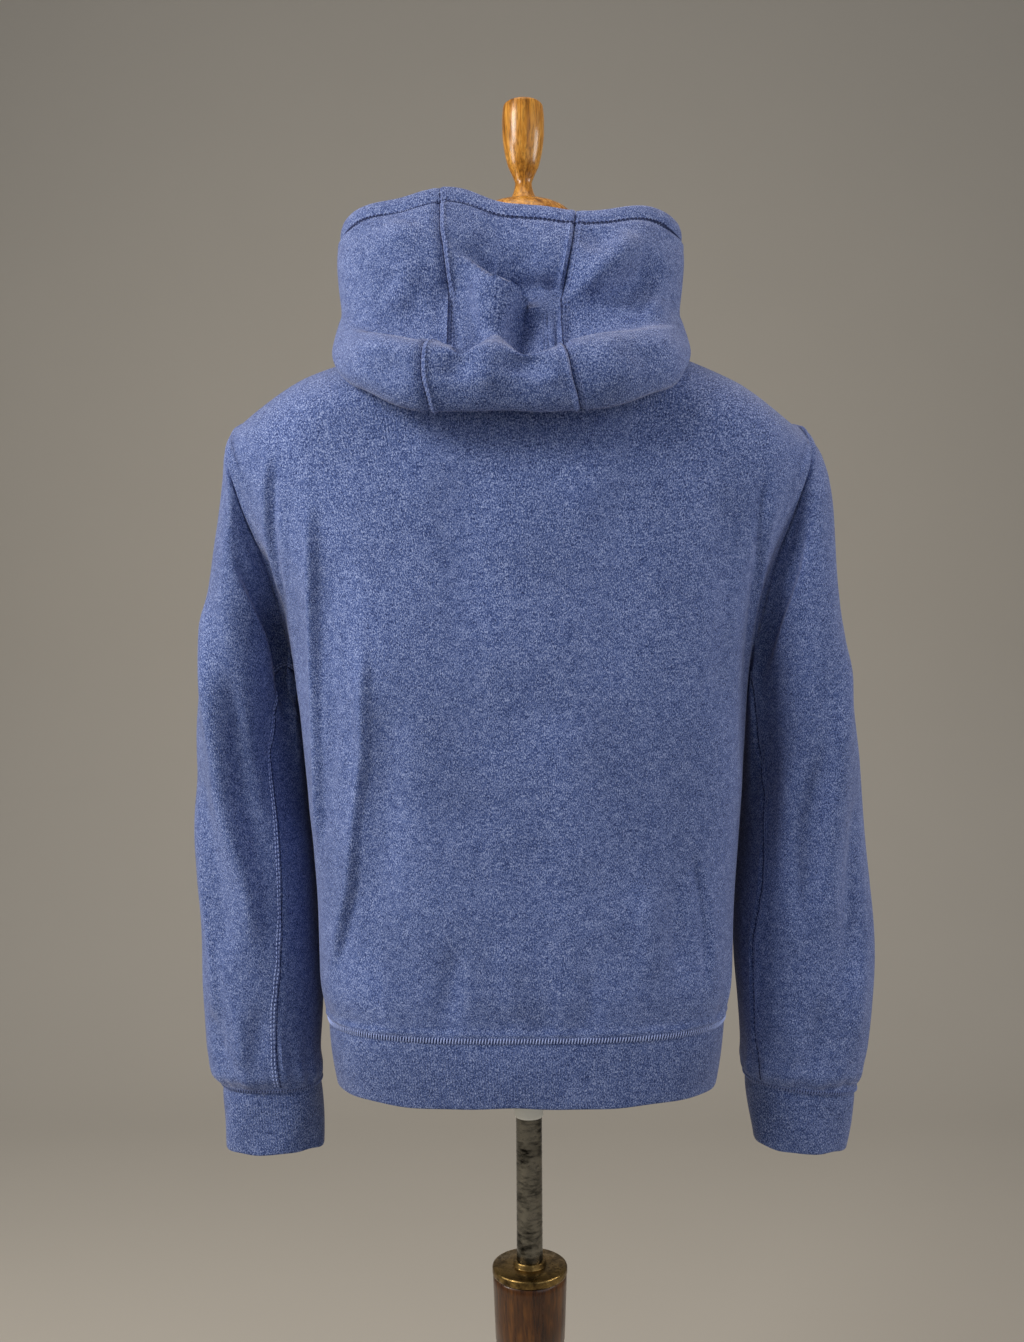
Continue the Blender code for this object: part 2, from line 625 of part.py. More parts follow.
def cuff_grid(side, cuff, top, angles):
    """Outer points of a cuff, from the cuff seam down to its edge."""
    height = (cuff["edge_out"] + cuff["edge_in"]) / 2 + (cuff["edge_out"] - cuff["edge_in"]) / 2 * np.cos(angles)
    across = (cuff["outer"] + cuff["inner"]) / 2 + (cuff["outer"] - cuff["inner"]) / 2 * power(np.cos(angles), 2.3)
    depth = (cuff["back"] + cuff["front"]) / 2 + (cuff["back"] - cuff["front"]) / 2 * power(np.sin(angles), 2.3)
    edge = np.stack([side * across, depth, height], axis=-1)
    middle = top * 0.42 + edge * 0.58
    return np.stack([top, middle, edge])


# ---- hood --------------------------------------------------------------------------------------------

CENTRE_PARTS = 2           # hood columns to each body neck column under the centre panel
SIDE_PARTS = 3             # between that panel and the shoulder seams
FRONT_PARTS = 2            # and in front of them
HOOD_BACK_SQUARE = 2.9
HOOD_FRONT_SQUARE = 2.2


def hood_side(ring, count_centre, count_side, side):
    """One ring of one side of the hood, from its centre back column to the zip."""
    table = {k: v[ring] for k, v in HOOD_RINGS.items()}
    last = len(HOOD_RINGS["back"]) - 1
    fine = np.linspace(0, math.pi / 2, 200)
    widest = table["widest"]
    back = np.stack([table["side"] * power(np.sin(fine), HOOD_BACK_SQUARE),
                     widest + (table["back"] - widest) * power(np.cos(fine), HOOD_BACK_SQUARE)], axis=-1)
    front = np.stack([table["side"] * power(np.cos(fine), HOOD_FRONT_SQUARE),
                      widest - (table["front"] + widest) * power(np.sin(fine), HOOD_FRONT_SQUARE)], axis=-1)
    path = np.concatenate([back, front[1:]])
    path = path[: int(np.argmax((path[:, 0] < ZIP_HALF_GAP) & (path[:, 1] < 0)))]
    run = np.concatenate([[0], np.cumsum(np.linalg.norm(np.diff(path, axis=0), axis=1))])
    wanted = np.concatenate([CENTRE_HALF * np.arange(count_centre) / count_centre,
                             CENTRE_HALF + (run[-1] - CENTRE_HALF) * np.linspace(0, 1, count_side + 1)])
    share = wanted / run[-1]
    across = np.interp(wanted, run, path[:, 0])
    across[-1] = ZIP_HALF_GAP
    quarter = run[len(back) - 1] / run[-1]
    stations = (0.0, HOOD_FLAT * quarter, HOOD_CORNER * quarter, quarter, 1.0)
    heights = [table[k] for k in ("z_back", "z_back", "z_corner", "z_side", "z_front")]
    rise = smooth(RIM_WAVE["across"], RIM_WAVE["rise"], side * across) * (1 - fade(share, quarter, 0.9))
    height = smooth(stations, heights, share) + rise * fade(ring, last - 4, last)
    lean = HOOD_SHIFT * min(1.0, (ring + 1) / 4) * (1 - fade(share, 0.55, 0.95))
    depth = np.interp(wanted, run, path[:, 1])
    height = np.maximum(height, shoulder_surface(side * across + lean, depth) + HOOD_CLEAR)
    return np.stack([side * across + lean, depth, height], axis=-1)


def hood_grid(neck):
    """Outer points of the hood, [row][column], from the neck seam to the rim, right edge first."""
    count_centre = 2 * CENTRE_PARTS
    count_side = (NECK_B - 2) * SIDE_PARTS + NECK_F * FRONT_PARTS
    rings = [neck]
    for ring in range(len(HOOD_RINGS["back"])):
        left = hood_side(ring, count_centre, count_side, 1)
        right = hood_side(ring, count_centre, count_side, -1)
        rings.append(np.concatenate([right[::-1], left[1:]]))
    return np.stack(rings), count_centre, count_side


def neck_parts():
    """Hood columns to each side of the neck polygon."""
    side = [FRONT_PARTS] * NECK_F + [SIDE_PARTS] * (NECK_B - 2)
    return side + [CENTRE_PARTS] * 4 + side[::-1]


# ---- zip ------------------------------------------------------------------------------------------------

SLIDER_Z = 1.366           # middle of the slider
SLIDER_HALF = (0.0045, 0.0065)
PULL_LENGTH = 0.030
BEHIND = 0.0003            # tapes lie this far behind the fronts, and the slider before the chain


def zip_rows(body_inner, hem_inner, edge, neighbour):
    """Inner face of one front along the zip: points at its edge and part way in, bottom first."""
    near = np.concatenate([hem_inner[:, edge], body_inner[1:-1, edge]])
    far = np.concatenate([hem_inner[:, neighbour], body_inner[1:-1, neighbour]])
    top_near = body_inner[-2, edge] + (body_inner[-1, edge] - body_inner[-2, edge]) * 0.86
    top_far = body_inner[-2, neighbour] + (body_inner[-1, neighbour] - body_inner[-2, neighbour]) * 0.60
    return np.concatenate([near, [top_near]]), np.concatenate([far, [top_far]])


def build_tape(name, side, near, far, look):
    reach = np.linalg.norm(far - near, axis=1, keepdims=True)
    inward = np.array((0.0, 1.0, 0.0))
    clear = inward * BEHIND
    edge = near.copy()
    edge[:, 0] = side * (CHAIN_HALF + 0.0004)
    share = np.minimum(0.8, (TAPE_REACH / reach))
    outer = np.stack([edge + clear, near + clear, near + (far - near) * share + clear], axis=1)
    return add_wall(name, outer, outer + inward * TAPE_THICK, look)


def build_chain(near, look):
    middle = near[:, 1] + BEHIND + TAPE_THICK / 2
    front = np.stack([np.stack([np.full(len(near), s * CHAIN_HALF), middle - CHAIN_THICK / 2, near[:, 2]], axis=-1)
                      for s in (-1, 1)], axis=1)
    rear = front + np.array((0.0, CHAIN_THICK, 0.0))
    return add_wall("zip_chain", front, rear, look)


def box(low, high):
    """Vertices and faces of a box."""
    vertices = [(x, y, z) for x in (low[0], high[0]) for y in (low[1], high[1]) for z in (low[2], high[2])]
    faces = [(0, 1, 3, 2), (4, 6, 7, 5), (0, 4, 5, 1), (2, 3, 7, 6), (0, 2, 6, 4), (1, 5, 7, 3)]
    return vertices, faces


def tube_x(centre, radius, half_length, sides):
    """Vertices and faces of a closed cylinder along X."""
    vertices = []
    for x in (-half_length, half_length):
        for k in range(sides):
            a = 2 * math.pi * k / sides
            vertices.append((x, centre[1] + radius * math.cos(a), centre[2] + radius * math.sin(a)))
    faces = [(k, (k + 1) % sides, sides + (k + 1) % sides, sides + k) for k in range(sides)]
    return vertices, faces + [tuple(range(sides)), tuple(range(sides, 2 * sides))]


def helper(name, shape, look):
    """An object that only shapes another one."""
    made = add_object(name, *shape, look)
    made.hide_render = True
    made.display_type = "WIRE"
    return made


def boolean(target, other, operation):
    step = target.modifiers.new(operation.title() + " " + other.name, "BOOLEAN")
    step.operation = operation
    step.solver = "EXACT"
    step.object = other


PIN_RADIUS = 0.0008
EYE_BORE = 0.0012


def build_slider(chain_front, look):
    """Slider in front of the chain, with the bar that its pull tab swings on."""
    face = chain_front - BEHIND
    half_x, half_z = SLIDER_HALF
    body = add_object("zip_slider", *box((-half_x, face - 0.0022, SLIDER_Z - half_z), (half_x, face, SLIDER_Z + half_z)), look)
    pin_y = face - 0.0046
    pin_z = SLIDER_Z - 0.0010
    for side in (-1, 1):
        low = (min(side * 0.0018, side * 0.0030), pin_y - 0.0012, pin_z - 0.0012)
        high = (max(side * 0.0018, side * 0.0030), face - 0.0010, pin_z + 0.0012)
        boolean(body, helper(f"slider_ear_{side + 1}", box(low, high), look), "UNION")
    boolean(body, helper("slider_bar", tube_x((0, pin_y, pin_z), PIN_RADIUS, 0.0025, 12), look), "UNION")
    return pin_y, pin_z


def build_pull(pin_y, pin_z, look):
    """Pull tab hanging from the slider's bar, its origin on the hinge line."""
    eye = tube_x((0, pin_y, pin_z), 0.0022, 0.0014, 14)
    pull = add_object("zip_pull", *eye, look, origin=(0, pin_y, pin_z))
    tab = box((-0.0034, pin_y - 0.0010, pin_z - PULL_LENGTH), (0.0034, pin_y + 0.0008, pin_z - 0.0038))
    neck = box((-0.0014, pin_y - 0.0009, pin_z - 0.0050), (0.0014, pin_y + 0.0007, pin_z - 0.0014))
    boolean(pull, helper("pull_neck", neck, look), "UNION")
    boolean(pull, helper("pull_tab", tab, look), "UNION")
    boolean(pull, helper("pull_bore", tube_x((0, pin_y, pin_z), EYE_BORE, 0.004, 12), look), "DIFFERENCE")


# ---- dress form and stand ----------------------------------------------------------------------------------

FORM_SEGMENTS = 28
FORM_CLEAR = 0.0006        # under the shoulder seams, where the cloth rests
FORM_SLIM = 1.35           # the form's shoulders are this much thinner than the cloth over them
FORM_REACH = 0.105         # depth past which the shoulders keep the height they have there
NECK_DIP = 0.004           # the form sinks this much before and behind the neck points
EDGE_DROP = 0.030          # and this much at the shoulders' own edge
FORM_SECTIONS = {
    "height": (0.800, 0.880, 0.960, 1.050, 1.150, 1.250, 1.330),
    "half":   (0.146, 0.152, 0.143, 0.134, 0.148, 0.166, 0.178),
    "back":   (0.092, 0.098, 0.094, 0.090, 0.100, 0.108, 0.102),
    "front":  (0.090, 0.097, 0.096, 0.096, 0.108, 0.114, 0.102),
}
NECK_STUMP = ((0.056, 1.452), (0.052, 1.480), (0.051, 1.545))   # radius and height
FORM_RINGS_OVER_SHOULDER = 5


def build_form(look):
    """Smooth torso with a neck stump; the shoulder seams rest on it."""
    angles = np.linspace(0, 2 * math.pi, FORM_SEGMENTS, endpoint=False)
    rings = []
    for height in FORM_SECTIONS["height"]:
        half, back, front = (smooth(FORM_SECTIONS["height"], FORM_SECTIONS[c], height) for c in ("half", "back", "front"))
        depth = np.where(np.cos(angles) > 0, back, front) * power(np.cos(angles), 2.3)
        rings.append(np.stack([half * power(np.sin(angles), 2.3), depth, np.full(len(angles), height)], axis=-1))
    edge = rings[-1]
    base_radius, base_height = NECK_STUMP[0]
    neck = np.stack([base_radius * np.sin(angles), base_radius * np.cos(angles), np.full(len(angles), base_height)], axis=-1)
    for k in range(1, FORM_RINGS_OVER_SHOULDER + 1):
        share = k / (FORM_RINGS_OVER_SHOULDER + 1)
        plan = edge * (1 - share) + neck * share
        depth = np.clip(plan[:, 1] * FORM_SLIM, -FORM_REACH, FORM_REACH)
        dip = NECK_DIP * bell(np.abs(plan[:, 0]) - NECK_HALF, 0.02) * fade(np.abs(plan[:, 1]), 0.004, 0.03)
        height = shoulder_surface(plan[:, 0], depth) - FLEECE * 1.05 - FORM_CLEAR - dip
        plan[:, 2] = height - EDGE_DROP * (1 - share) ** 5
        rings.append(plan)
    for radius, height in NECK_STUMP:
        rings.append(np.stack([radius * np.sin(angles), radius * np.cos(angles), np.full(len(angles), height)], axis=-1))
    grid = np.stack(rings)
    count = len(angles)
    faces = []
    for row in range(len(grid) - 1):
        for k in range(count):
            n = (k + 1) % count
            faces.append((row * count + k, row * count + n, (row + 1) * count + n, (row + 1) * count + k))
    faces.append(tuple(range(count)))
    faces.append(tuple(range((len(grid) - 1) * count, len(grid) * count)))
    return add_object("torso_form", grid.reshape(-1, 3), faces, look)


def build_stand(looks):
    bore = POLE_RADIUS + FLOOR_GAP
    add_turned("base_plate", [(0.186, 0.0), (0.192, 0.006), (0.192, 0.026), (0.184, 0.036), (0.150, 0.042), (0.060, 0.0455)],
               32, looks["column"])
    foot = 0.0455 + FLOOR_GAP
    add_turned("column", [(0.046, foot), (0.048, foot + 0.012), (0.040, foot + 0.030), (0.029, foot + 0.050),
                          (0.026, 0.140), (0.029, 0.240), (0.0305, 0.380), (0.0310, 0.500), (0.0322, 0.530),
                          (0.0343, 0.584), (0.0343, 0.5886), (bore, 0.5886), (bore, 0.075)], 24, looks["column"])
    add_turned("column_cap", [(bore, 0.5889), (0.0340, 0.5889), (0.0350, 0.5905), (0.0350, 0.5955), (0.0338, COLUMN_TOP),
                              (0.0152, COLUMN_TOP + 0.0002), (0.0146, COLUMN_TOP + 0.0050), (bore, COLUMN_TOP + 0.0052)],
               24, looks["metal"], hollow=True)
    add_turned("pole", [(POLE_RADIUS - 0.001, 0.200), (POLE_RADIUS, 0.201), (POLE_RADIUS, 0.789), (POLE_RADIUS - 0.001, 0.790)],
               20, looks["chrome"])
    bottom = FORM_SECTIONS["height"][0] - FLOOR_GAP
    add_turned("pole_socket", [(bore, 0.7352), (0.0130, 0.7350), (0.0137, 0.7370), (0.0140, 0.7550), (0.0200, 0.7700),
                               (0.0420, 0.7780), (0.0440, 0.7800), (0.0440, bottom), (bore, bottom)], 20, looks["socket"],
               hollow=True)
    top = NECK_STUMP[-1][1] + FLOOR_GAP
    add_turned("neck_cap", [(0.0500, top), (0.0530, top + 0.003), (0.0530, top + 0.020), (0.0440, top + 0.034),
                            (0.0230, top + 0.0440)], 24, looks["finial"])
    seat = top + 0.0440 + FLOOR_GAP
    add_turned("finial", [(0.0150, seat), (0.0127, 1.5935), (0.0098, 1.600), (0.0079, 1.6090), (0.0098, 1.6155),
                          (0.0148, 1.6270), (0.0182, 1.6420), (0.0197, 1.6570), (0.0198, 1.6680), (0.0190, 1.6800),
                          (0.0130, 1.6848), (0.0050, FINIAL_TOP)], 20, looks["finial"])


# ---- the whole part -------------------------------------------------------------------------------------------

def clear_scene():
    for old in list(bpy.data.objects):
        bpy.data.objects.remove(old, do_unlink=True)


def make_looks():
    return {
        "fleece": material("melange fleece", (0.094, 0.127, 0.279), 0.93),
        "rib": material("melange folded knit", (0.080, 0.112, 0.240), 0.93),
        "tape": material("woven zip tape", (0.020, 0.026, 0.065), 0.85),
        "zip": material("nickel plated zip", (0.55, 0.54, 0.52), 0.32, 1.0),
        "chrome": material("worn chrome", (0.42, 0.41, 0.38), 0.22, 1.0),
        "metal": material("dulled steel plate", (0.33, 0.28, 0.20), 0.38, 1.0),
        "column": material("varnished brown wood", (0.130, 0.048, 0.012), 0.32),
        "finial": material("varnished amber wood", (0.42, 0.20, 0.045), 0.25),
        "form": material("cotton jersey form cover", (0.62, 0.57, 0.49), 0.88),
        "socket": material("white plastic", (0.80, 0.80, 0.77), 0.42),
    }


def build_garment(looks):
    body, normals = body_grid()
    hem, hem_normals = hem_grid()

    sleeves = {}
    starts = {}
    for side, table, cuff in ((1, SLEEVE_LEFT, CUFF_LEFT), (-1, SLEEVE_RIGHT, CUFF_RIGHT)):
        sleeves[side] = sleeve_grid(side, table, cuff, body[-1][armhole_columns(side)])
        second = sleeves[side][0][1]
        starts[side] = np.concatenate([second, second[:1]])[::ARMHOLE_PARTS]

    neck = body[-1][neck_columns()]
    parts = neck_parts()
    hood, count_centre, count_side = hood_grid(between(neck, parts))
    corners = np.concatenate([[0], np.cumsum(parts)])
    edge_inner, edge_shift, seams = body_edges(body, normals, starts, hood[1][corners])

    body_inner = body - normals * FLEECE
    body_inner[-1] = edge_inner
    body_outer = body.copy()
    body_outer[-1] -= edge_shift
    body_inner[-1] -= edge_shift
    lift = np.array((0.0, 0.0, SEAM_GAP / 2))
    body_outer[0] += lift
    body_inner[0] += lift
    for name, first, last in (("front_right", 0, SIDE_R), ("back_panel", SIDE_R, SIDE_L), ("front_left", SIDE_L, ZIP_L)):
        outer, inner = cut_panel(body_outer, body_inner, first, last, first > 0, last < ZIP_L)
        add_wall(name, outer, inner, looks["fleece"])

    hem_inner = hem - hem_normals * RIB
    hem_outer = hem.copy()
    hem_outer[-1] -= lift
    hem_inner[-1] -= lift
    add_wall("hem_band", hem_outer, hem_inner, looks["rib"])

    for side, name, cuff in ((1, "left", CUFF_LEFT), (-1, "right", CUFF_RIGHT)):
        grid, angles = sleeves[side]
        build_sleeve(side, name, cuff, grid, angles, seams["armhole", side], looks)

    build_hood(hood, corners, seams["neck"], parts, count_centre, count_side, looks)
    build_zip(body_inner, hem_inner, looks)


def build_sleeve(side, name, cuff, grid, angles, seam, looks):
    # The armhole runs the other way round on the right, so its normals are turned there.
    normals = closed_normals(grid, side)
    outer = grid.copy()
    inner = grid - normals * FLEECE
    first, second = seam.second()
    outer[0] = between(first, [ARMHOLE_PARTS] * (len(first) - 1))[:-1]
    inner[0] = between(second, [ARMHOLE_PARTS] * (len(second) - 1))[:-1]
    way = unit(grid[-1] - grid[-2]) * SEAM_GAP / 2
    outer[-1] -= way
    inner[-1] -= way
    add_wall(f"sleeve_{name}", outer, inner, looks["fleece"], closed=True)
    cuff_outer = cuff_grid(side, cuff, grid[-1], angles)
    cuff_normals = closed_normals(cuff_outer, side)
    cuff_inner = cuff_outer - cuff_normals * RIB
    cuff_outer[0] += way
    cuff_inner[0] += way
    add_wall(f"cuff_{name}", cuff_outer, cuff_inner, looks["rib"], closed=True)


def closed_normals(grid, side):
    """Outward normals of a tube that starts at the top and runs round by its back."""
    around = np.roll(grid, -1, axis=1) - np.roll(grid, 1, axis=1)
    down = np.gradient(grid, axis=0)
    return side * unit(np.cross(down, around))


def build_hood(hood, corners, seam, parts, count_centre, count_side, looks):
    normals = unit(-grid_normals(hood))
    outer = hood.copy()
    inner = hood - normals * FLEECE
    first, second = seam.second()
    outer[0] = between(first, parts)
    inner[0] = between(second, parts)
    right_seam = count_side
    left_seam = count_side + 2 * count_centre
    last = outer.shape[1] - 1
    for name, start, end in (("hood_right", 0, right_seam), ("hood_centre", right_seam, left_seam),
                             ("hood_left", left_seam, last)):
        panel, lining = cut_panel(outer, inner, start, end, start > 0, end < last)
        add_wall(name, panel, lining, looks["fleece"])


def build_zip(body_inner, hem_inner, looks):
    near_left, far_left = zip_rows(body_inner, hem_inner, ZIP_L, ZIP_L - 1)
    near_right, far_right = zip_rows(body_inner, hem_inner, 0, 1)
    build_tape("zip_tape_left", 1, near_left, far_left, looks["tape"])
    build_tape("zip_tape_right", -1, near_right, far_right, looks["tape"])
    build_chain(near_left, looks["zip"])
    ends = (SLIDER_Z - SLIDER_HALF[1], SLIDER_Z + SLIDER_HALF[1])
    depth = float(np.interp(ends, near_left[:, 2], near_left[:, 1]).min())
    pin_y, pin_z = build_slider(depth + BEHIND + TAPE_THICK / 2 - CHAIN_THICK / 2, looks["zip"])
    build_pull(pin_y, pin_z, looks["zip"])


def main():
    clear_scene()
    looks = make_looks()
    build_stand(looks)
    build_form(looks["form"])
    build_garment(looks)


main()
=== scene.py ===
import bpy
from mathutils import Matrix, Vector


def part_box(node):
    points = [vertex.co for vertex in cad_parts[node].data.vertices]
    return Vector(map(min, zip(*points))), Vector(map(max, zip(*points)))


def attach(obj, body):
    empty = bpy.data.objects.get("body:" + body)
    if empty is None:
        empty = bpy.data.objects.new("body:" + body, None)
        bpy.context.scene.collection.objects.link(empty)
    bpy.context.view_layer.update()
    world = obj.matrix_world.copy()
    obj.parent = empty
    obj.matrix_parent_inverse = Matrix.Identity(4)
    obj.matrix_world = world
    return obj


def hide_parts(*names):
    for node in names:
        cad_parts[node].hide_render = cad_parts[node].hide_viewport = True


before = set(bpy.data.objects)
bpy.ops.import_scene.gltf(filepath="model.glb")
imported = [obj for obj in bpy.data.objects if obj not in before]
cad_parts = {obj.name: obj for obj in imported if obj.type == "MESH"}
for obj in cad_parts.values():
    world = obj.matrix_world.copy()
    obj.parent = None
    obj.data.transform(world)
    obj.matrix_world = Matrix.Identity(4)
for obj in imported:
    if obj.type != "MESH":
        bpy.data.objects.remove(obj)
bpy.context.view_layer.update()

# Looks of the zip-up hoodie on its dress form. Metres, +Z up, the garment's front faces -Y and its
# left side is +X. Each piece of cloth is a thin shell on the form of the solid that it stands for,
# with finer rows and columns, its folds laid on along the surface's normals, and its sewing added.

import math

import bmesh
import bpy
import numpy as np
from bpy.props import FloatProperty, FloatVectorProperty, PointerProperty
from bpy.types import Operator, Panel, PropertyGroup

bl_info = {
    "name": "Zip-up hoodie",
    "version": (1, 0, 0),
    "blender": (4, 5, 0),
    "location": "3D View > Sidebar > Hoodie",
    "description": "Builds the looks of a zip-up hoodie on a limbless dress form",
    "category": "Object",
}


# ---- sizes and colours ---------------------------------------------------------------------------

def linear(code):
    """Linear colour of an sRGB hex value."""
    parts = [int(code[i:i + 2], 16) / 255 for i in (1, 3, 5)]
    return tuple(p / 12.92 if p <= 0.04045 else ((p + 0.055) / 1.055) ** 2.4 for p in parts)


def length(name, text, value):
    return FloatProperty(name=name, description=text, default=value, unit="LENGTH", precision=4)


def colour(name, text, code):
    return FloatVectorProperty(name=name, description=text, default=linear(code), subtype="COLOR",
                               size=3, min=0.0, max=1.0)


class HoodieSizes(PropertyGroup):
    fleece: length("Fleece", "Wall of body, sleeves and hood", 0.0022)
    rib: length("Folded knit", "Wall of the hem band and cuffs", 0.0030)
    seam_gap: length("Seam gap", "Gap between two sewn pieces", 0.0004)
    fold: FloatProperty(name="Folds", description="Strength of the creases", default=1.0,
                        subtype="FACTOR", min=0.0, max=1.5)
    stitch: length("Stitch", "Length of one stitch of the topstitching", 0.0030)
    stitch_gap: length("Stitch gap", "Gap between two stitches", 0.0009)
    thread: length("Thread", "Width of the sewing thread as it shows", 0.0011)
    tooth: length("Tooth pitch", "Distance from one zip tooth to the next", 0.0032)
    fleck: length("Fleck", "Width of the melange's flecks", 0.0009)
    wale: length("Wale", "Distance from one knitted column to the next", 0.0017)


class HoodieColours(PropertyGroup):
    blue_deep: colour("Deep blue fibre", "Darkest flecks of the melange", "#1F2C58")
    blue: colour("Blue fibre", "Middle of the melange", "#4A5F98")
    blue_pale: colour("Pale fibre", "Palest flecks of the melange", "#9CABD6")
    thread_pale: colour("Pale thread", "Upper thread of the cover seams", "#A3B4EA")
    thread_mid: colour("Middle thread", "Thread of the seams' topstitching", "#7383B6")
    # The deep thread also makes the dark rows laid in the seams as painted shade.
    thread_deep: colour("Deep thread", "Thread of the topstitching", "#232E57")
    amber: colour("Amber varnish", "Turned knob of the form", "#B47A2A")
    brown: colour("Brown varnish", "Turned column", "#462608")
    cover: colour("Form cover", "Cotton jersey over the form", "#CFC6B4")
    floor: colour("Floor", "Plain pale floor and backdrop", "#C0BBB2")


# ---- tables of the garment (metres) --------------------------------------------------------------

HEM_BOTTOM, HEM_SEAM, UNDERARM = 0.781, 0.840, 1.150
RIDGE_Y, SHOULDER_ROLL, SHOULDER_PLAN = -0.004, 0.072, 1.410
SQUARENESS = 3.0
NECK_HALF, NECK_BACK = 0.090, 1.446
TIPS = {1: 0.263, -1: 0.253}      # shoulder tip from the centre, left and right
ARMHOLE_BEND = 1.5
ARMHOLE_SHARES = (1.0, 0.985, 0.940, 0.860, 0.720, 0.500, 0.250, 0.000)
ZIP_HALF_GAP, CHAIN_HALF = 0.0060, 0.0026
FAN_LOW, TIP_FAN = 0.900, math.radians(26)

BODY_SECTIONS = {
    "height": (0.781, 0.840, 0.880, 0.930, 1.000, 1.080, 1.150, 1.200, 1.240, 1.270, 1.300, 1.340, 1.385, 1.460),
    1: (0.175, 0.183, 0.189, 0.191, 0.197, 0.205, 0.212, 0.222, 0.236, 0.251, 0.267, 0.286, 0.298, 0.308),
    -1: (0.171, 0.179, 0.185, 0.187, 0.192, 0.199, 0.205, 0.213, 0.225, 0.239, 0.254, 0.274, 0.287, 0.298),
    "back": (0.118, 0.122, 0.128, 0.129, 0.132, 0.136, 0.139, 0.140, 0.140, 0.139, 0.138, 0.136, 0.133, 0.128),
    "front": (0.116, 0.120, 0.127, 0.130, 0.136, 0.142, 0.144, 0.142, 0.140, 0.137, 0.133, 0.128, 0.122, 0.114),
}
SHOULDER_LINE = {
    "across": (0.000, 0.060, 0.090, 0.130, 0.165, 0.195, 0.215, 0.235, 0.250, 0.263, 0.275),
    1: (1.466, 1.460, 1.453, 1.442, 1.432, 1.422, 1.414, 1.403, 1.393, 1.380, 1.362),
    -1: (1.466, 1.460, 1.453, 1.440, 1.427, 1.414, 1.403, 1.391, 1.380, 1.366, 1.346),
}
NECK_FRONT = {
    "across": (ZIP_HALF_GAP, 0.034, 0.058, 0.074, 0.083, 0.088, NECK_HALF),
    "height": (1.382, 1.386, 1.400, 1.418, 1.434, 1.446, 1.453),
}
SLEEVES = {
    1: {
        "height": (0.771, 0.785, 0.805, 0.840, 0.880, 0.950, 1.010, 1.070, 1.150, 1.210, 1.290, 1.340, 1.380),
        "outer": (0.285, 0.293, 0.299, 0.302, 0.305, 0.308, 0.309, 0.305, 0.299, 0.295, 0.294, 0.291, 0.278),
        "inner": (0.1945, 0.194, 0.194, 0.1945, 0.196, 0.199, 0.204, 0.211, 0.219, 0.228, 0.240, 0.248, 0.251),
        "back": (0.036, 0.042, 0.047, 0.050, 0.052, 0.056, 0.062, 0.070, 0.079, 0.084, 0.080, 0.070, 0.048),
        "front": (-0.038, -0.046, -0.052, -0.056, -0.060, -0.070, -0.080, -0.090, -0.099, -0.101, -0.095, -0.085,
                  -0.060),
    },
    -1: {
        "height": (0.771, 0.785, 0.805, 0.840, 0.880, 0.950, 1.010, 1.070, 1.150, 1.210, 1.290, 1.340, 1.370),
        "outer": (0.304, 0.310, 0.315, 0.318, 0.319, 0.318, 0.315, 0.310, 0.299, 0.292, 0.286, 0.280, 0.266),
        "inner": (0.203, 0.200, 0.198, 0.196, 0.195, 0.196, 0.200, 0.207, 0.2145, 0.223, 0.233, 0.240, 0.243),
        "back": (0.038, 0.045, 0.049, 0.051, 0.053, 0.057, 0.063, 0.071, 0.080, 0.084, 0.079, 0.066, 0.044),
        "front": (-0.040, -0.048, -0.054, -0.057, -0.061, -0.071, -0.081, -0.091, -0.099, -0.100, -0.092, -0.076,
                  -0.052),
    },
}
CUFFS = {
    1: {"seam_out": 0.771, "seam_in": 0.771, "edge_out": 0.711, "edge_in": 0.711,
        "outer": 0.282, "inner": 0.1925, "back": 0.030, "front": -0.031},
    -1: {"seam_out": 0.763, "seam_in": 0.774, "edge_out": 0.706, "edge_in": 0.713,
         "outer": 0.294, "inner": 0.2095, "back": 0.031, "front": -0.032},
}
# Hood rings from neck seam to rim: reach to back, side and front, depth at which the ring is
# widest; height at back, at the back corner, at the widest point and at the front.
HOOD_RINGS = {
    "back": (0.086, 0.104, 0.126, 0.141, 0.152, 0.170, 0.186, 0.187, 0.174, 0.156, 0.149, 0.143, 0.122),
    "side": (0.096, 0.111, 0.124, 0.134, 0.143, 0.151, 0.156, 0.154, 0.151, 0.149, 0.152, 0.154, 0.153),
    "front": (0.121, 0.122, 0.123, 0.124, 0.125, 0.126, 0.127, 0.128, 0.129, 0.130, 0.131, 0.132, 0.133),
    "widest": (0.005, 0.015, 0.025, 0.035, 0.045, 0.050, 0.050, 0.048, 0.045, 0.040, 0.035, 0.030, 0.020),
    "z_back": (1.462, 1.474, 1.464, 1.424, 1.378, 1.358, 1.374, 1.404, 1.418, 1.428, 1.466, 1.507, 1.549),
    "z_corner": (1.468, 1.480, 1.474, 1.444, 1.404, 1.384, 1.394, 1.416, 1.432, 1.446, 1.478, 1.514, 1.556),
    "z_side": (1.474, 1.486, 1.484, 1.468, 1.447, 1.434, 1.438, 1.448, 1.460, 1.472, 1.496, 1.522, 1.548),
    "z_front": (1.386, 1.389, 1.392, 1.395, 1.398, 1.401, 1.404, 1.407, 1.410, 1.413, 1.417, 1.421, 1.425),
}
HOOD_FLAT, HOOD_CORNER = 0.22, 0.60
HOOD_SHIFT, HOOD_CLEAR, CENTRE_HALF = 0.012, 0.0040, 0.060
HOOD_BACK_SQUARE, HOOD_FRONT_SQUARE = 2.9, 2.2
RIM_WAVE = {
    "across": (-0.160, -0.120, -0.060, 0.000, 0.055, 0.110, 0.160),
    "rise": (-0.002, 0.004, -0.006, -0.003, 0.010, 0.003, -0.002),
}
RIM_FOLD = 0.017           # width of the hood's turned and topstitched edge
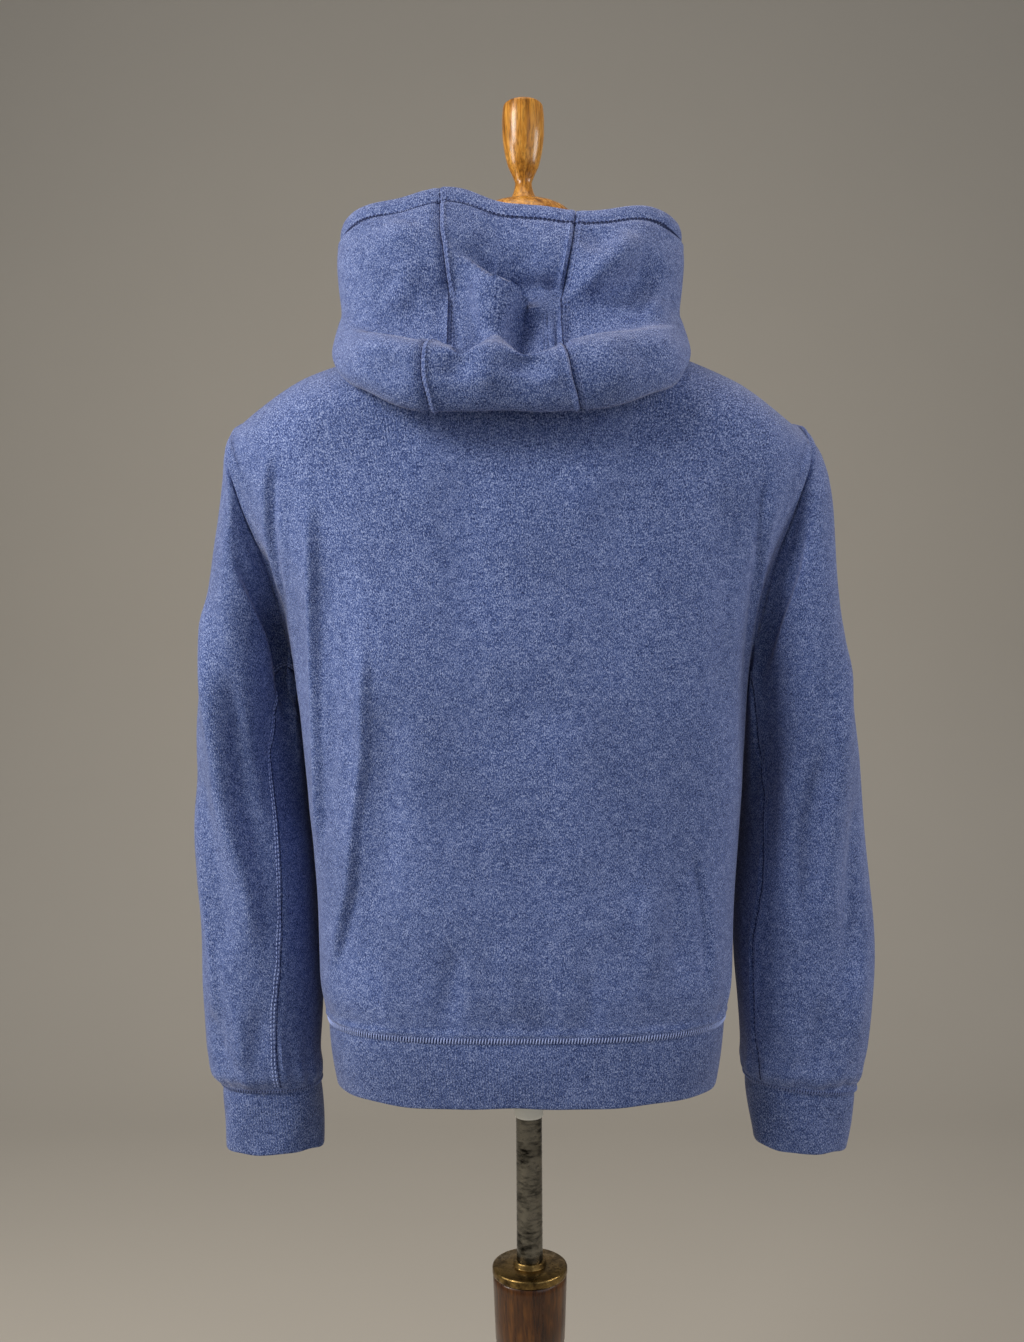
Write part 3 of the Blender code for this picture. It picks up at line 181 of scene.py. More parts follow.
LAYER_RINGS, VALLEY_RINGS = (1.2, 4.6), (7.4, 10.8)       # of the fold's layer and the valley before it
LAYER_GAP, LAYER_SOFT, LAYER_REACH = 0.0075, 0.0030, 0.009

# Creases: kind, width, rise, then their line as (across, height). A ridge is a soft raised line, or
# with a negative rise a ditch. A ledge or crease is raised on the right of its line, sunk on the
# left, and runs out over its width. The raised side of a crease also hangs over its line.
LEDGE_STEP = {"ledge": 0.0038, "crease": 0.0024}
LEDGE_FALL, LEDGE_SUNK, LEDGE_END = 1.6, 0.7, 0.016
OVERHANG, OVERHANG_WIDTH = 0.0075, 0.014
FRONT_SHARE, HOOD_FRONT_SHARE = 0.8, 0.35      # how strong the back's creases are on the front, mirrored
CREASE_TIP, TIP_LEFT = 0.040, 0.12     # a crease runs out over its tip, and what is left at its end
BODY_CREASES = (
    ("ledge", 0.020, 0.0058, ((0.213, 1.190), (0.217, 1.240), (0.219, 1.277), (0.218, 1.316), (0.215, 1.345))),
    ("ledge", 0.024, 0.0060, ((0.181, 0.990), (0.179, 1.051), (0.180, 1.110), (0.179, 1.179), (0.180, 1.300))),
    ("ledge", 0.026, 0.0056, ((0.168, 0.886), (0.151, 0.965), (0.145, 1.018), (0.136, 1.078), (0.133, 1.175))),
    ("ridge", 0.0062, 0.0022, ((0.200, 1.100), (0.205, 1.157), (0.211, 1.241), (0.210, 1.330))),
    ("ridge", 0.0062, 0.0026, ((0.179, 1.010), (0.178, 1.078), (0.180, 1.213), (0.178, 1.283))),
    ("ridge", 0.0062, 0.0024, ((0.150, 0.965), (0.134, 1.078), (0.132, 1.160))),
    ("ridge", 0.0060, 0.0018, ((0.160, 1.230), (0.157, 1.120), (0.160, 1.040))),
    ("ridge", 0.016, -0.0050, ((0.112, 1.140), (0.120, 1.020), (0.134, 0.930))),
    ("ridge", 0.014, -0.0040, ((0.158, 1.270), (0.158, 1.060))),
    ("ridge", 0.011, -0.0110, ((0.240, 1.268), (0.231, 1.225), (0.224, 1.180))),
    ("ledge", 0.018, -0.0044, ((-0.152, 0.870), (-0.154, 0.921), (-0.149, 0.963), (-0.139, 1.012))),
    ("ridge", 0.012, 0.0045, ((-0.094, 0.978), (-0.106, 0.877))),
    ("ridge", 0.010, -0.0040, ((-0.118, 0.990), (-0.132, 0.880))),
    ("ledge", 0.024, -0.0052, ((-0.196, 1.040), (-0.200, 1.180), (-0.205, 1.330))),
    ("ridge", 0.016, -0.0050, ((-0.172, 1.310), (-0.168, 1.100))),
    ("ridge", 0.010, -0.0090, ((-0.232, 1.255), (-0.222, 1.210), (-0.216, 1.170))),
    ("ridge", 0.024, 0.0040, ((-0.070, 1.360), (-0.040, 1.250))),
    ("ridge", 0.030, -0.0040, ((0.050, 1.330), (0.060, 1.150), (0.040, 1.000))),
    ("ridge", 0.026, 0.0036, ((-0.030, 1.120), (-0.050, 0.960))),
    ("ridge", 0.010, -0.0032, ((0.060, 0.930), (0.070, 0.850))),
    ("ridge", 0.010, 0.0028, ((0.020, 0.930), (0.012, 0.850))),
    ("ridge", 0.008, -0.0026, ((-0.048, 0.900), (-0.056, 0.848))),
)
SLEEVE_CREASES = {
    1: (
        ("ledge", 0.022, 0.0080, ((0.223, 1.110), (0.226, 1.159), (0.231, 1.181), (0.240, 1.204), (0.249, 1.228),
                                  (0.254, 1.250))),
        ("ridge", 0.009, -0.0080, ((0.214, 1.110), (0.222, 1.180), (0.234, 1.225))),
        ("ridge", 0.009, 0.0078, ((0.287, 1.230), (0.279, 1.120), (0.271, 1.037), (0.251, 0.960), (0.245, 0.900))),
        ("ridge", 0.010, -0.0060, ((0.262, 1.160), (0.250, 1.040), (0.232, 0.960))),
        ("ridge", 0.009, -0.0050, ((0.300, 1.080), (0.280, 0.970), (0.270, 0.880))),
        ("ledge", 0.016, 0.0034, ((0.283, 0.810), (0.284, 0.880), (0.296, 0.985))),
        ("ridge", 0.008, -0.0042, ((0.292, 0.850), (0.276, 0.790))),
        ("ridge", 0.007, 0.0034, ((0.262, 0.860), (0.256, 0.785))),
        ("ridge", 0.007, -0.0032, ((0.240, 0.860), (0.244, 0.790))),
    ),
    -1: (
        ("ledge", 0.018, -0.0060, ((-0.216, 1.140), (-0.226, 1.190), (-0.238, 1.235), (-0.246, 1.280))),
        ("ridge", 0.008, -0.0065, ((-0.262, 1.085), (-0.248, 1.009), (-0.249, 0.925))),
        ("ridge", 0.011, 0.0060, ((-0.284, 1.180), (-0.280, 1.120), (-0.268, 1.010), (-0.266, 0.900))),
        ("ridge", 0.010, 0.0046, ((-0.238, 1.080), (-0.232, 0.980), (-0.236, 0.880))),
        ("ridge", 0.009, -0.0048, ((-0.296, 1.050), (-0.290, 0.930), (-0.284, 0.850))),
        ("ridge", 0.008, 0.0040, ((-0.300, 0.900), (-0.292, 0.800))),
        ("ridge", 0.007, -0.0038, ((-0.262, 0.860), (-0.256, 0.785))),
        ("ridge", 0.007, 0.0030, ((-0.234, 0.850), (-0.238, 0.790))),
    ),
}
HOOD_CREASES = (
    ("crease", 0.034, 0.0150, ((-0.040, 1.466), (-0.020, 1.453), (-0.002, 1.451), (0.012, 1.456), (0.026, 1.467),
                               (0.036, 1.477), (0.048, 1.489), (0.060, 1.497))),
    ("ridge", 0.009, -0.0060, ((-0.034, 1.472), (-0.012, 1.462), (0.010, 1.466), (0.024, 1.478), (0.040, 1.493),
                               (0.052, 1.501))),
    ("ridge", 0.014, -0.0040, ((0.014, 1.446), (0.010, 1.430), (0.006, 1.412))),
    ("ridge", 0.011, 0.0075, ((0.046, 1.476), (0.036, 1.458), (0.031, 1.436), (0.030, 1.418))),
    ("ridge", 0.012, -0.0070, ((0.070, 1.478), (0.058, 1.450), (0.058, 1.424))),
    ("ridge", 0.015, -0.0070, ((-0.010, 1.452), (-0.034, 1.462))),
    ("ridge", 0.011, -0.0110, ((0.126, 1.436), (0.104, 1.437), (0.084, 1.436))),
    ("ledge", 0.020, 0.0045, ((0.120, 1.487), (0.106, 1.480), (0.092, 1.462))),
    ("ridge", 0.018, 0.0060, ((0.118, 1.466), (0.092, 1.460))),
    ("ridge", 0.013, 0.0125, ((-0.034, 1.459), (-0.058, 1.476), (-0.077, 1.492), (-0.096, 1.520))),
    ("ridge", 0.013, -0.0110, ((-0.052, 1.444), (-0.078, 1.458), (-0.100, 1.478), (-0.118, 1.506))),
    ("ledge", 0.016, 0.0055, ((-0.116, 1.470), (-0.104, 1.458), (-0.096, 1.440))),
    ("ridge", 0.018, -0.0070, ((0.046, 1.520), (0.010, 1.494), (-0.020, 1.476))),
    ("ridge", 0.014, -0.0050, ((-0.066, 1.520), (-0.050, 1.494))),
    ("ridge", 0.016, 0.0050, ((0.100, 1.530), (0.112, 1.500))),
)
LOBE_CREASES = (
    ("ridge", 0.014, 0.0050, ((0.025, 1.412), (0.034, 1.368))),
    ("ridge", 0.018, -0.0060, ((0.001, 1.400), (0.004, 1.380))),
    ("ridge", 0.012, -0.0050, ((0.053, 1.402), (0.058, 1.376))),
    ("ridge", 0.014, 0.0045, ((-0.050, 1.410), (-0.084, 1.372))),
    ("ridge", 0.012, -0.0040, ((-0.078, 1.416), (-0.108, 1.388))),
    ("ridge", 0.016, -0.0045, ((0.104, 1.400), (0.120, 1.380))),
    ("ridge", 0.012, 0.0035, ((-0.020, 1.404), (-0.026, 1.372))),
)
# How far the hood's two seams lie to the garment's left of their plain lines, by ring.
SEAM_SHIFT = {
    "ring": (3.0, 5.5, 6.5, 7.8, 9.0, 9.8, 10.6, 11.2, 12.0),
    1: (0.000, 0.008, 0.013, 0.010, -0.007, -0.007, -0.003, 0.000, 0.000),
    -1: (0.000, 0.006, 0.013, 0.018, 0.018, 0.018, 0.013, 0.009, 0.005),
}
# How far the rim sags, the lobe's upper edge dips, and the valley behind it lies in and down.
HOOD_SAG = {
    "across": (-0.150, -0.110, -0.075, -0.052, -0.035, -0.011, 0.001, 0.013, 0.025, 0.038, 0.052, 0.061, 0.083,
               0.110, 0.150),
    "rim": (0.006, 0.011, 0.009, 0.006, 0.004, 0.002, 0.002, 0.002, 0.002, 0.001, 0.000, 0.000, 0.002, 0.006, 0.004),
    "edge": (0.000, 0.000, 0.000, 0.001, 0.004, 0.014, 0.019, 0.009, 0.003, 0.007, 0.016, 0.006, 0.001, 0.001, 0.000),
    "in": (0.000, 0.003, 0.006, 0.010, 0.014, 0.021, 0.022, 0.015, 0.004, 0.009, 0.013, 0.011, 0.009, 0.008, 0.000),
    "down": (0.000, 0.002, 0.004, 0.006, 0.010, 0.024, 0.028, 0.017, 0.004, 0.013, 0.026, 0.014, 0.012, 0.012, 0.000),
}

# How many fine columns or rows stand for one of the solids'.
NECK_FINE, FRONT_FINE, SHOULDER_FINE, ARMHOLE_FINE = 8, 4, 6, 8
NECK_DEGREES = (0, 20, 40, 65, 90)
SHOULDER_COLUMNS = 5 * SHOULDER_FINE
BODY_ROWS, SLEEVE_ROWS, HOOD_STEPS = 160, 140, 12
END_CROWD = 0.07           # how much closer the rows lie near a piece's two ends
SLEEVE_SQUARENESS, SETTLE = 2.3, 0.42
HOLLOW_ANGLE, HOLLOW_WIDTH, HOLLOW_DEPTH = math.radians(142), math.radians(27), 0.022
PLAN_ACROSS, PLAN_DEEP = 0.19, 0.13      # half axes of the oval that the body's waves go round
FAR = 1e9
EDGE_TURNS = (55, 20, -20, -55)          # degrees at which the rows of a rounded edge lie
EDGE_ROUND = 0.9           # how far a rounded edge reaches, in half walls
BESIDE_STEPS = 16          # half columns on each side in which a line beside a seam is looked for

# Where each sleeve's own seam hangs: heights, and angles from the sleeve's outer side by its back.
SLEEVE_SEAM = {
    1: ((0.771, 0.786, 0.839, 0.881, 0.952, 1.040, 1.100, 1.160, 1.205, 1.246),
        (107, 108, 111, 117, 123, 124, 128, 137, 155, 180)),
    -1: ((0.766, 0.789, 0.825, 0.908, 0.962, 1.009, 1.080, 1.160, 1.205, 1.246),
         (140, 141, 147, 146, 137, 138, 143, 150, 162, 180)),
}

# Cut of each sheet of cloth: greatest width, length, and flat area.
CUTS = {
    "back_panel": (0.620, 0.660, 0.330),
    "front_left": (0.330, 0.650, 0.165),
    "front_right": (0.320, 0.650, 0.160),
    "hood_centre": (0.125, 0.400, 0.047),
    "hem_band": (0.980, 0.062, 0.057),
}
for pair, cut in (("sleeve", (0.480, 0.640, 0.220)), ("hood", (0.360, 0.400, 0.110)), ("cuff", (0.255, 0.065, 0.015)),
                  ("zip_tape", (0.016, 0.605, 0.0095))):
    CUTS[pair + "_left"] = CUTS[pair + "_right"] = cut


# ---- small maths ---------------------------------------------------------------------------------

def unit(vectors):
    size = np.linalg.norm(vectors, axis=-1, keepdims=True)
    return vectors / np.maximum(size, 1e-12)


def cubic(t, start, start_slope, end, end_slope):
    """Value at share t of the way from start to end, with these slopes there."""
    return ((2 * t**3 - 3 * t**2 + 1) * start + (t**3 - 2 * t**2 + t) * start_slope
            + (3 * t**2 - 2 * t**3) * end + (t**3 - t**2) * end_slope)


def smooth(xs, ys, x):
    """Monotone cubic through the points (xs, ys), read at x."""
    xs, ys, x = (np.asarray(a, float) for a in (xs, ys, x))
    step = np.diff(xs)
    slope = np.diff(ys) / step
    tangent = np.concatenate([slope[:1], np.zeros(len(xs) - 2), slope[-1:]])
    same = slope[:-1] * slope[1:] > 0
    before, after = slope[:-1][same], slope[1:][same]
    tangent[1:-1][same] = 2 * before * after / (before + after)
    i = np.clip(np.searchsorted(xs, x, side="right") - 1, 0, len(xs) - 2)
    t = np.clip((x - xs[i]) / step[i], 0, 1)
    return cubic(t, ys[i], step[i] * tangent[i], ys[i + 1], step[i] * tangent[i + 1])


def bell(distance, width):
    return np.exp(-((distance / width) ** 2))


def halfway(first, second, way):
    """From second, where way is -1, to first, where it is 1."""
    return (first + second) / 2 + (first - second) / 2 * way


def fade(x, low, high):
    """0 below low, 1 above high, eased between."""
    t = np.clip((x - low) / (high - low), 0, 1)
    return t * t * (3 - 2 * t)


def power(value, squareness):
    return np.sign(value) * np.abs(value) ** (2 / squareness)


def crowded(count):
    """Shares from 0 to 1 that lie closer together near both ends."""
    t = np.linspace(0, 1, count + 1)
    return t - END_CROWD * np.sin(2 * math.pi * t)


def finely(values, parts):
    """The values with each step cut into equal parts, by a smooth curve through them."""
    count = len(values) - 1
    return smooth(np.arange(count + 1), values, np.linspace(0, count, count * parts + 1))


def run_along(path):
    """Distance along a line, at each of its points."""
    return np.concatenate([[0], np.cumsum(np.linalg.norm(np.diff(path, axis=0), axis=1))])


def read_line(wanted, run, path):
    """Points of a line at the wanted distances along it."""
    return np.stack([np.interp(wanted, run, path[:, k]) for k in range(3)], axis=-1)


def waver(points, size, amount, seed):
    """Slow uneven swell of the cloth, from a few fixed waves."""
    draw = np.random.default_rng(seed)
    lift = np.zeros(points.shape[:-1])
    for _ in range(7):
        way = draw.normal(size=3) * (1.0, 1.0, 0.55)
        lift += np.sin(points @ (way / np.linalg.norm(way)) * 2 * math.pi / (size * draw.uniform(0.7, 1.5))
                       + draw.uniform(0, 2 * math.pi))
    return lift * amount / 3


def crease_lift(points, creases, mirrored=False):
    """How far the creases lift each point, and how far they slide it across and up."""
    flat = points.reshape(-1, 3)[:, (0, 2)]
    if mirrored:
        flat = flat * (-1, 1)
    lift = np.zeros(len(flat))
    slide = np.zeros((len(flat), 3))
    for kind, width, rise, line in creases:
        line = np.array(line)
        nearest = np.full(len(flat), FAR)
        right, along, total = np.zeros(len(flat)), np.zeros(len(flat)), 0.0
        way = np.zeros((len(flat), 2))
        for start, end in zip(line[:-1], line[1:]):
            run = end - start
            size = np.linalg.norm(run)
            t = np.clip(((flat - start) @ run) / size**2, 0, 1)
            gap = flat - (start + t[:, None] * run)
            away = np.linalg.norm(gap, axis=1)
            closer = away < nearest
            nearest = np.where(closer, away, nearest)
            right = np.where(closer, (run[1] * gap[:, 0] - run[0] * gap[:, 1]) / size, right)
            along = np.where(closer, total + t * size, along)
            way[closer] = (run[1] / size, -run[0] / size)
            total += size
        tips = fade(np.minimum(along, total - along), 0.0, min(CREASE_TIP, 0.36 * total))
        ends = TIP_LEFT + (1 - TIP_LEFT) * tips
        if kind == "ridge":
            lift += rise * bell(nearest, width) * ends
            continue
        step = LEDGE_STEP[kind]
        raised = fade(right, -step, step)
        fall = np.exp(-np.abs(right) / width * LEDGE_FALL) * bell(nearest - np.abs(right), LEDGE_END) * ends
        lift += rise * fall * (raised - LEDGE_SUNK * (1 - raised))
        if kind == "crease":
            over = OVERHANG * raised * np.exp(-np.abs(right) / OVERHANG_WIDTH) * ends
            slide[:, (0, 2)] -= way * over[:, None] * ((-1, 1) if mirrored else (1, 1))
    return lift.reshape(points.shape[:-1]), slide.reshape(points.shape)


# ---- the body's surface --------------------------------------------------------------------------

def body_row(column, height):
    return smooth(BODY_SECTIONS["height"], BODY_SECTIONS[column], height)


def half_width(height, side):
    return np.where(side > 0, body_row(1, height), body_row(-1, height))


def shoulder_height(across):
    left, right = (smooth(SHOULDER_LINE["across"], SHOULDER_LINE[side], np.abs(across)) for side in (1, -1))
    return np.where(across > 0, left, right)


def angle_at(across, height, side):
    share = abs(across) / float(half_width(height, side))
    return math.asin(min(1.0, share) ** (SQUARENESS / 2))


def body_point(angle, height):
    """Point of the body's outer surface. Angle 0 is centre back, +90 degrees the left side."""
    side = np.where(np.sin(angle) >= 0, 1.0, -1.0)
    back = np.cos(angle) >= 0
    across = half_width(height, side) * power(np.sin(angle), SQUARENESS)
    depth = np.where(back, body_row("back", height), body_row("front", height)) * power(np.cos(angle), SQUARENESS)
    roll_start = shoulder_height(across) - SHOULDER_ROLL
    closing = np.sqrt(np.clip(1 - np.clip((height - roll_start) / SHOULDER_ROLL, 0, 1) ** 2, 0, 1))
    return np.stack([across, RIDGE_Y + (depth - RIDGE_Y) * closing, height + 0 * across], axis=-1)


def shoulder_surface(across, depth):
    """Height of the cloth over the shoulders as seen from above, 0 outside them."""
    behind = depth > RIDGE_Y
    reach = np.where(behind, body_row("back", SHOULDER_PLAN), body_row("front", SHOULDER_PLAN))
    wide = half_width(SHOULDER_PLAN, np.where(across > 0, 1, -1))
    reach = reach * np.clip(1 - (np.abs(across) / wide) ** SQUARENESS, 0, 1) ** (1 / SQUARENESS)
    reach = np.maximum(reach, 0.001) + np.where(behind, -RIDGE_Y, RIDGE_Y)
    share = np.abs(depth - RIDGE_Y) / reach
    closing = np.sqrt(np.clip(1 - share**2, 0, 1))
    return np.where(share < 1, shoulder_height(across) + SHOULDER_ROLL * (closing - 1), 0)


def columns_of_quarter(side, back):
    """(angle low down, angle at the top, height of the top) of each column, centre first."""
    tip = TIPS[side]
    top, tip_height = (float(shoulder_height(side * across)) for across in (NECK_HALF, tip))
    if back:
        shares = np.sin(np.radians(finely(NECK_DEGREES, NECK_FINE)))
        neck = list(zip(NECK_HALF * shares, NECK_BACK + (top - NECK_BACK) * shares**2))
    else:
        neck = list(zip(finely(NECK_FRONT["across"], FRONT_FINE),
                        finely(NECK_FRONT["height"][:-1] + (top,), FRONT_FINE)))
    tops = [(angle_at(across, height, side), height) for across, height in neck]
    for step in range(1, SHOULDER_COLUMNS + 1):
        across = NECK_HALF + (tip - NECK_HALF) * step / SHOULDER_COLUMNS
        height = float(shoulder_height(side * across))
        tops.append((angle_at(across, height, side), height))
    tip_angle = tops[-1][0]
    low_tip = tip_angle - TIP_FAN
    reach = math.sin(low_tip) ** (2 / SQUARENESS)
    columns = []
    for number, (angle, height) in enumerate(tops):
        even = math.asin((reach * number / (len(tops) - 1)) ** (SQUARENESS / 2))
        columns.append((even, angle, height))
    shares = finely(ARMHOLE_SHARES, ARMHOLE_FINE)[1:]
    for number, share in enumerate(shares):
        even = low_tip + (math.pi / 2 - low_tip) * (number + 1) / len(shares)
        angle = math.pi / 2 - (math.pi / 2 - tip_angle) * share
        columns.append((even, angle, UNDERARM + (tip_height - UNDERARM) * max(share, 0.0) ** ARMHOLE_BEND))
    return columns


# Column numbers, once round from the right edge of the zip by the back to its left edge.
NECK_F, NECK_B = 6 * FRONT_FINE, 4 * NECK_FINE
ARMHOLE = 7 * ARMHOLE_FINE
NECK_RF = NECK_F
TIP_RF = NECK_RF + SHOULDER_COLUMNS
SIDE_R = TIP_RF + ARMHOLE
TIP_RB = SIDE_R + ARMHOLE
NECK_RB = TIP_RB + SHOULDER_COLUMNS
CENTRE = NECK_RB + NECK_B
NECK_LB = CENTRE + NECK_B
TIP_LB = NECK_LB + SHOULDER_COLUMNS
SIDE_L = TIP_LB + ARMHOLE
TIP_LF = SIDE_L + ARMHOLE
NECK_LF = TIP_LF + SHOULDER_COLUMNS
ZIP_L = NECK_LF + NECK_F


def body_columns():
    quarters = {(s, b): columns_of_quarter(s, b) for s in (1, -1) for b in (True, False)}
    right_front = [(low - math.pi, top - math.pi, z) for low, top, z in quarters[-1, False]]
    right_back = [(-low, -top, z) for low, top, z in quarters[-1, True]][::-1]
    left_front = [(math.pi - low, math.pi - top, z) for low, top, z in quarters[1, False]][::-1]
    return right_front + right_back[1:] + quarters[1, True][1:] + left_front[1:]


def zip_angles(heights, side):
    return np.array([side * (math.pi - angle_at(ZIP_HALF_GAP, z, side)) for z in heights])


def body_column(number, low, top, end):
    if number in (0, ZIP_L):
        heights = HEM_SEAM + (end - HEM_SEAM) * crowded(BODY_ROWS)
        return body_point(zip_angles(heights, 1 if number else -1), heights)
    crowd = 1 - (1 - np.linspace(0, 1, 400)) ** 2
    heights = HEM_SEAM + (end - HEM_SEAM) * crowd
    angles = low + (top - low) * np.clip((heights - FAN_LOW) / (end - FAN_LOW), 0, 1) ** 2
    path = body_point(angles, heights)
    run = run_along(path)
    return read_line(run[-1] * crowded(BODY_ROWS), run, path)


def grid_normals(grid, closed, sign):
    """Unit normals of a grid [row][column]."""
    if closed:
        across = np.roll(grid, -1, axis=1) - np.roll(grid, 1, axis=1)
    else:
        across = np.gradient(grid, axis=1)
    return sign * unit(np.cross(across, np.gradient(grid, axis=0)))


def edge_run(grid):
    """How far along its column each point of a grid is, and from the column's far end."""
    step = np.linalg.norm(np.diff(grid, axis=0), axis=-1)
    run = np.concatenate([np.zeros((1, grid.shape[1])), np.cumsum(step, axis=0)])
    return run, run[-1] - run


def run_across(rows):
    """Distance along each row of points, at each point."""
    return edge_run(rows.swapaxes(0, 1))[0].T


def relief(points, path, width, depth, shoulder):
    """Ditch along a seam with a soft ridge on both its sides."""
    lift = np.zeros(points.shape[:-1])
    flat = points.reshape(-1, 3)
    nearest = np.full(len(flat), FAR)
    for start in range(0, len(path), 40):
        part = path[None, start:start + 40]
        nearest = np.minimum(nearest, np.linalg.norm(flat[:, None] - part, axis=-1).min(axis=1))
    nearest = nearest.reshape(lift.shape)
    return shoulder * bell(nearest - 2.2 * width, 1.3 * width) - depth * bell(nearest, width)


# ---- shells --------------------------------------------------------------------------------------

def shell_mesh(outer, inner, closed, round_low, round_high):
    """Wall between two grids; an edge that isn't sewn is rounded by rows between its two sides."""
    outer, inner = outer.copy(), inner.copy()
    strips = [outer]
    for rounded, edge, neighbour in ((round_high, -1, -2), (round_low, 0, 1)):
        if not rounded:
            continue
        way = unit(outer[edge] - outer[neighbour])
        half = np.linalg.norm(outer[edge] - inner[edge], axis=-1, keepdims=True) / 2
        for grid in (outer, inner):
            grid[edge] -= way * half * EDGE_ROUND
        middle = (outer[edge] + inner[edge]) / 2
        across = unit(outer[edge] - inner[edge])
        rows = np.stack([middle + across * half * math.sin(t) + way * half * EDGE_ROUND * math.cos(t)
                         for t in np.radians(EDGE_TURNS)])
        strips = strips + [rows] if edge else [rows[::-1]] + strips
    sheet = np.concatenate(strips)
    rows, columns = sheet.shape[:2]
    low_cut, high_cut = len(EDGE_TURNS) * round_low, len(EDGE_TURNS) * round_high
    vertices = np.concatenate([sheet.reshape(-1, 3), inner.reshape(-1, 3)])
    inner_rows = len(inner)
    spans = range(columns if closed else columns - 1)

    def at(row, column):
        return row * columns + column % columns

    def within(row, column):
        return rows * columns + at(row, column)

    faces = [(at(row, c), at(row, c + 1), at(row + 1, c + 1), at(row + 1, c)) for row in range(rows - 1) for c in spans]
    faces += [(within(row + 1, c), within(row + 1, c + 1), within(row, c + 1), within(row, c))
              for row in range(inner_rows - 1) for c in spans]
    for c in spans:
        faces.append((at(0, c + 1), at(0, c), within(0, c), within(0, c + 1)))
        faces.append((at(rows - 1, c), at(rows - 1, c + 1), within(inner_rows - 1, c + 1), within(inner_rows - 1, c)))
    if closed:
        return vertices, faces
    end = columns - 1
    for row in range(inner_rows - 1):
        low, high = row + low_cut, row + low_cut + 1
        faces.append((at(low, 0), at(high, 0), within(row + 1, 0), within(row, 0)))
        faces.append((at(high, end), at(low, end), within(row, end), within(row + 1, end)))
    for start, cut, row in ((0, low_cut, 0), (rows - high_cut - 1, high_cut, inner_rows - 1)):
        if cut:
            faces += [tuple([at(start + n, column) for n in range(cut + 1)] + [within(row, column)])
                      for column in (0, end)]
    return vertices, faces


def cloth_coordinates(outer):
    """Distance round and along the cloth at each point, in metres, for its knit."""
    along, _ = edge_run(outer)
    across = np.broadcast_to(run_along(outer[len(outer) // 2]), along.shape)
    return np.stack([across, along, np.zeros_like(along)], axis=-1)


def linked(name, data):
    """A new object with this data, in the scene."""
    made = bpy.data.objects.new(name, data)
    bpy.context.scene.collection.objects.link(made)
    return made


def add_object(name, vertices, faces, material, body, smooth_angle=60.0):
    mesh = bpy.data.meshes.new(name)
    mesh.from_pydata([tuple(v) for v in np.asarray(vertices, float)], [], faces)
    shape = bmesh.new()
    shape.from_mesh(mesh)
    bmesh.ops.recalc_face_normals(shape, faces=shape.faces[:])
    shape.to_mesh(mesh)
    shape.free()
    mesh.materials.append(material)
    mesh.shade_smooth()
    mesh.set_sharp_from_angle(angle=math.radians(smooth_angle))
    made = linked(name, mesh)
    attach(made, body)
    return made


def add_cloth(node, outer, inner, material, slot, closed=False, round_low=False, round_high=False):
    """Shell of one sewn piece, which stands for its CAD node."""
    vertices, faces = shell_mesh(outer, inner, closed, round_low, round_high)
    made = add_object(node + "_cloth", vertices, faces, material, "form")
    flat = cloth_coordinates(outer)
    low, high = (np.repeat(flat[edge][None], len(EDGE_TURNS) * rounded, axis=0)
                 for edge, rounded in ((0, round_low), (-1, round_high)))
    place = np.concatenate([low, flat, high, flat])
    attribute = made.data.attributes.new("knit", "FLOAT_VECTOR", "POINT")
    attribute.data.foreach_set("vector", place.astype(np.float32).ravel())
    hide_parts(node)
    return made


def draw_back(outer, inner, *edges):
    """Draws a wall's sewn edge rows, first (0) or last (-1), back by half a seam gap."""
    for edge in edges:
        way = unit(outer[(1, -2)[edge]] - outer[edge]) * seam_gap() / 2
        outer[edge] += way
        inner[edge] += way


def add_panels(outer, inner, nodes, seams, **edges):
    """One panel of a wall for each node, between two of these columns, with its sewn sides drawn back."""
    for node, first, last in zip(nodes, seams[:-1], seams[1:]):
        out, ins = (grid[:, first:last + 1].copy() for grid in (outer, inner))
        sewn = [0] * (first > 0) + [-1] * (last < outer.shape[1] - 1)
        draw_back(out.swapaxes(0, 1), ins.swapaxes(0, 1), *sewn)
        add_cloth(node, out, ins, look("brushed_melange_fleece"), "fleece", **edges)


def sizes():
    return bpy.context.scene.hoodie_sizes


def seam_gap():
    return sizes().seam_gap


# ---- materials -----------------------------------------------------------------------------------

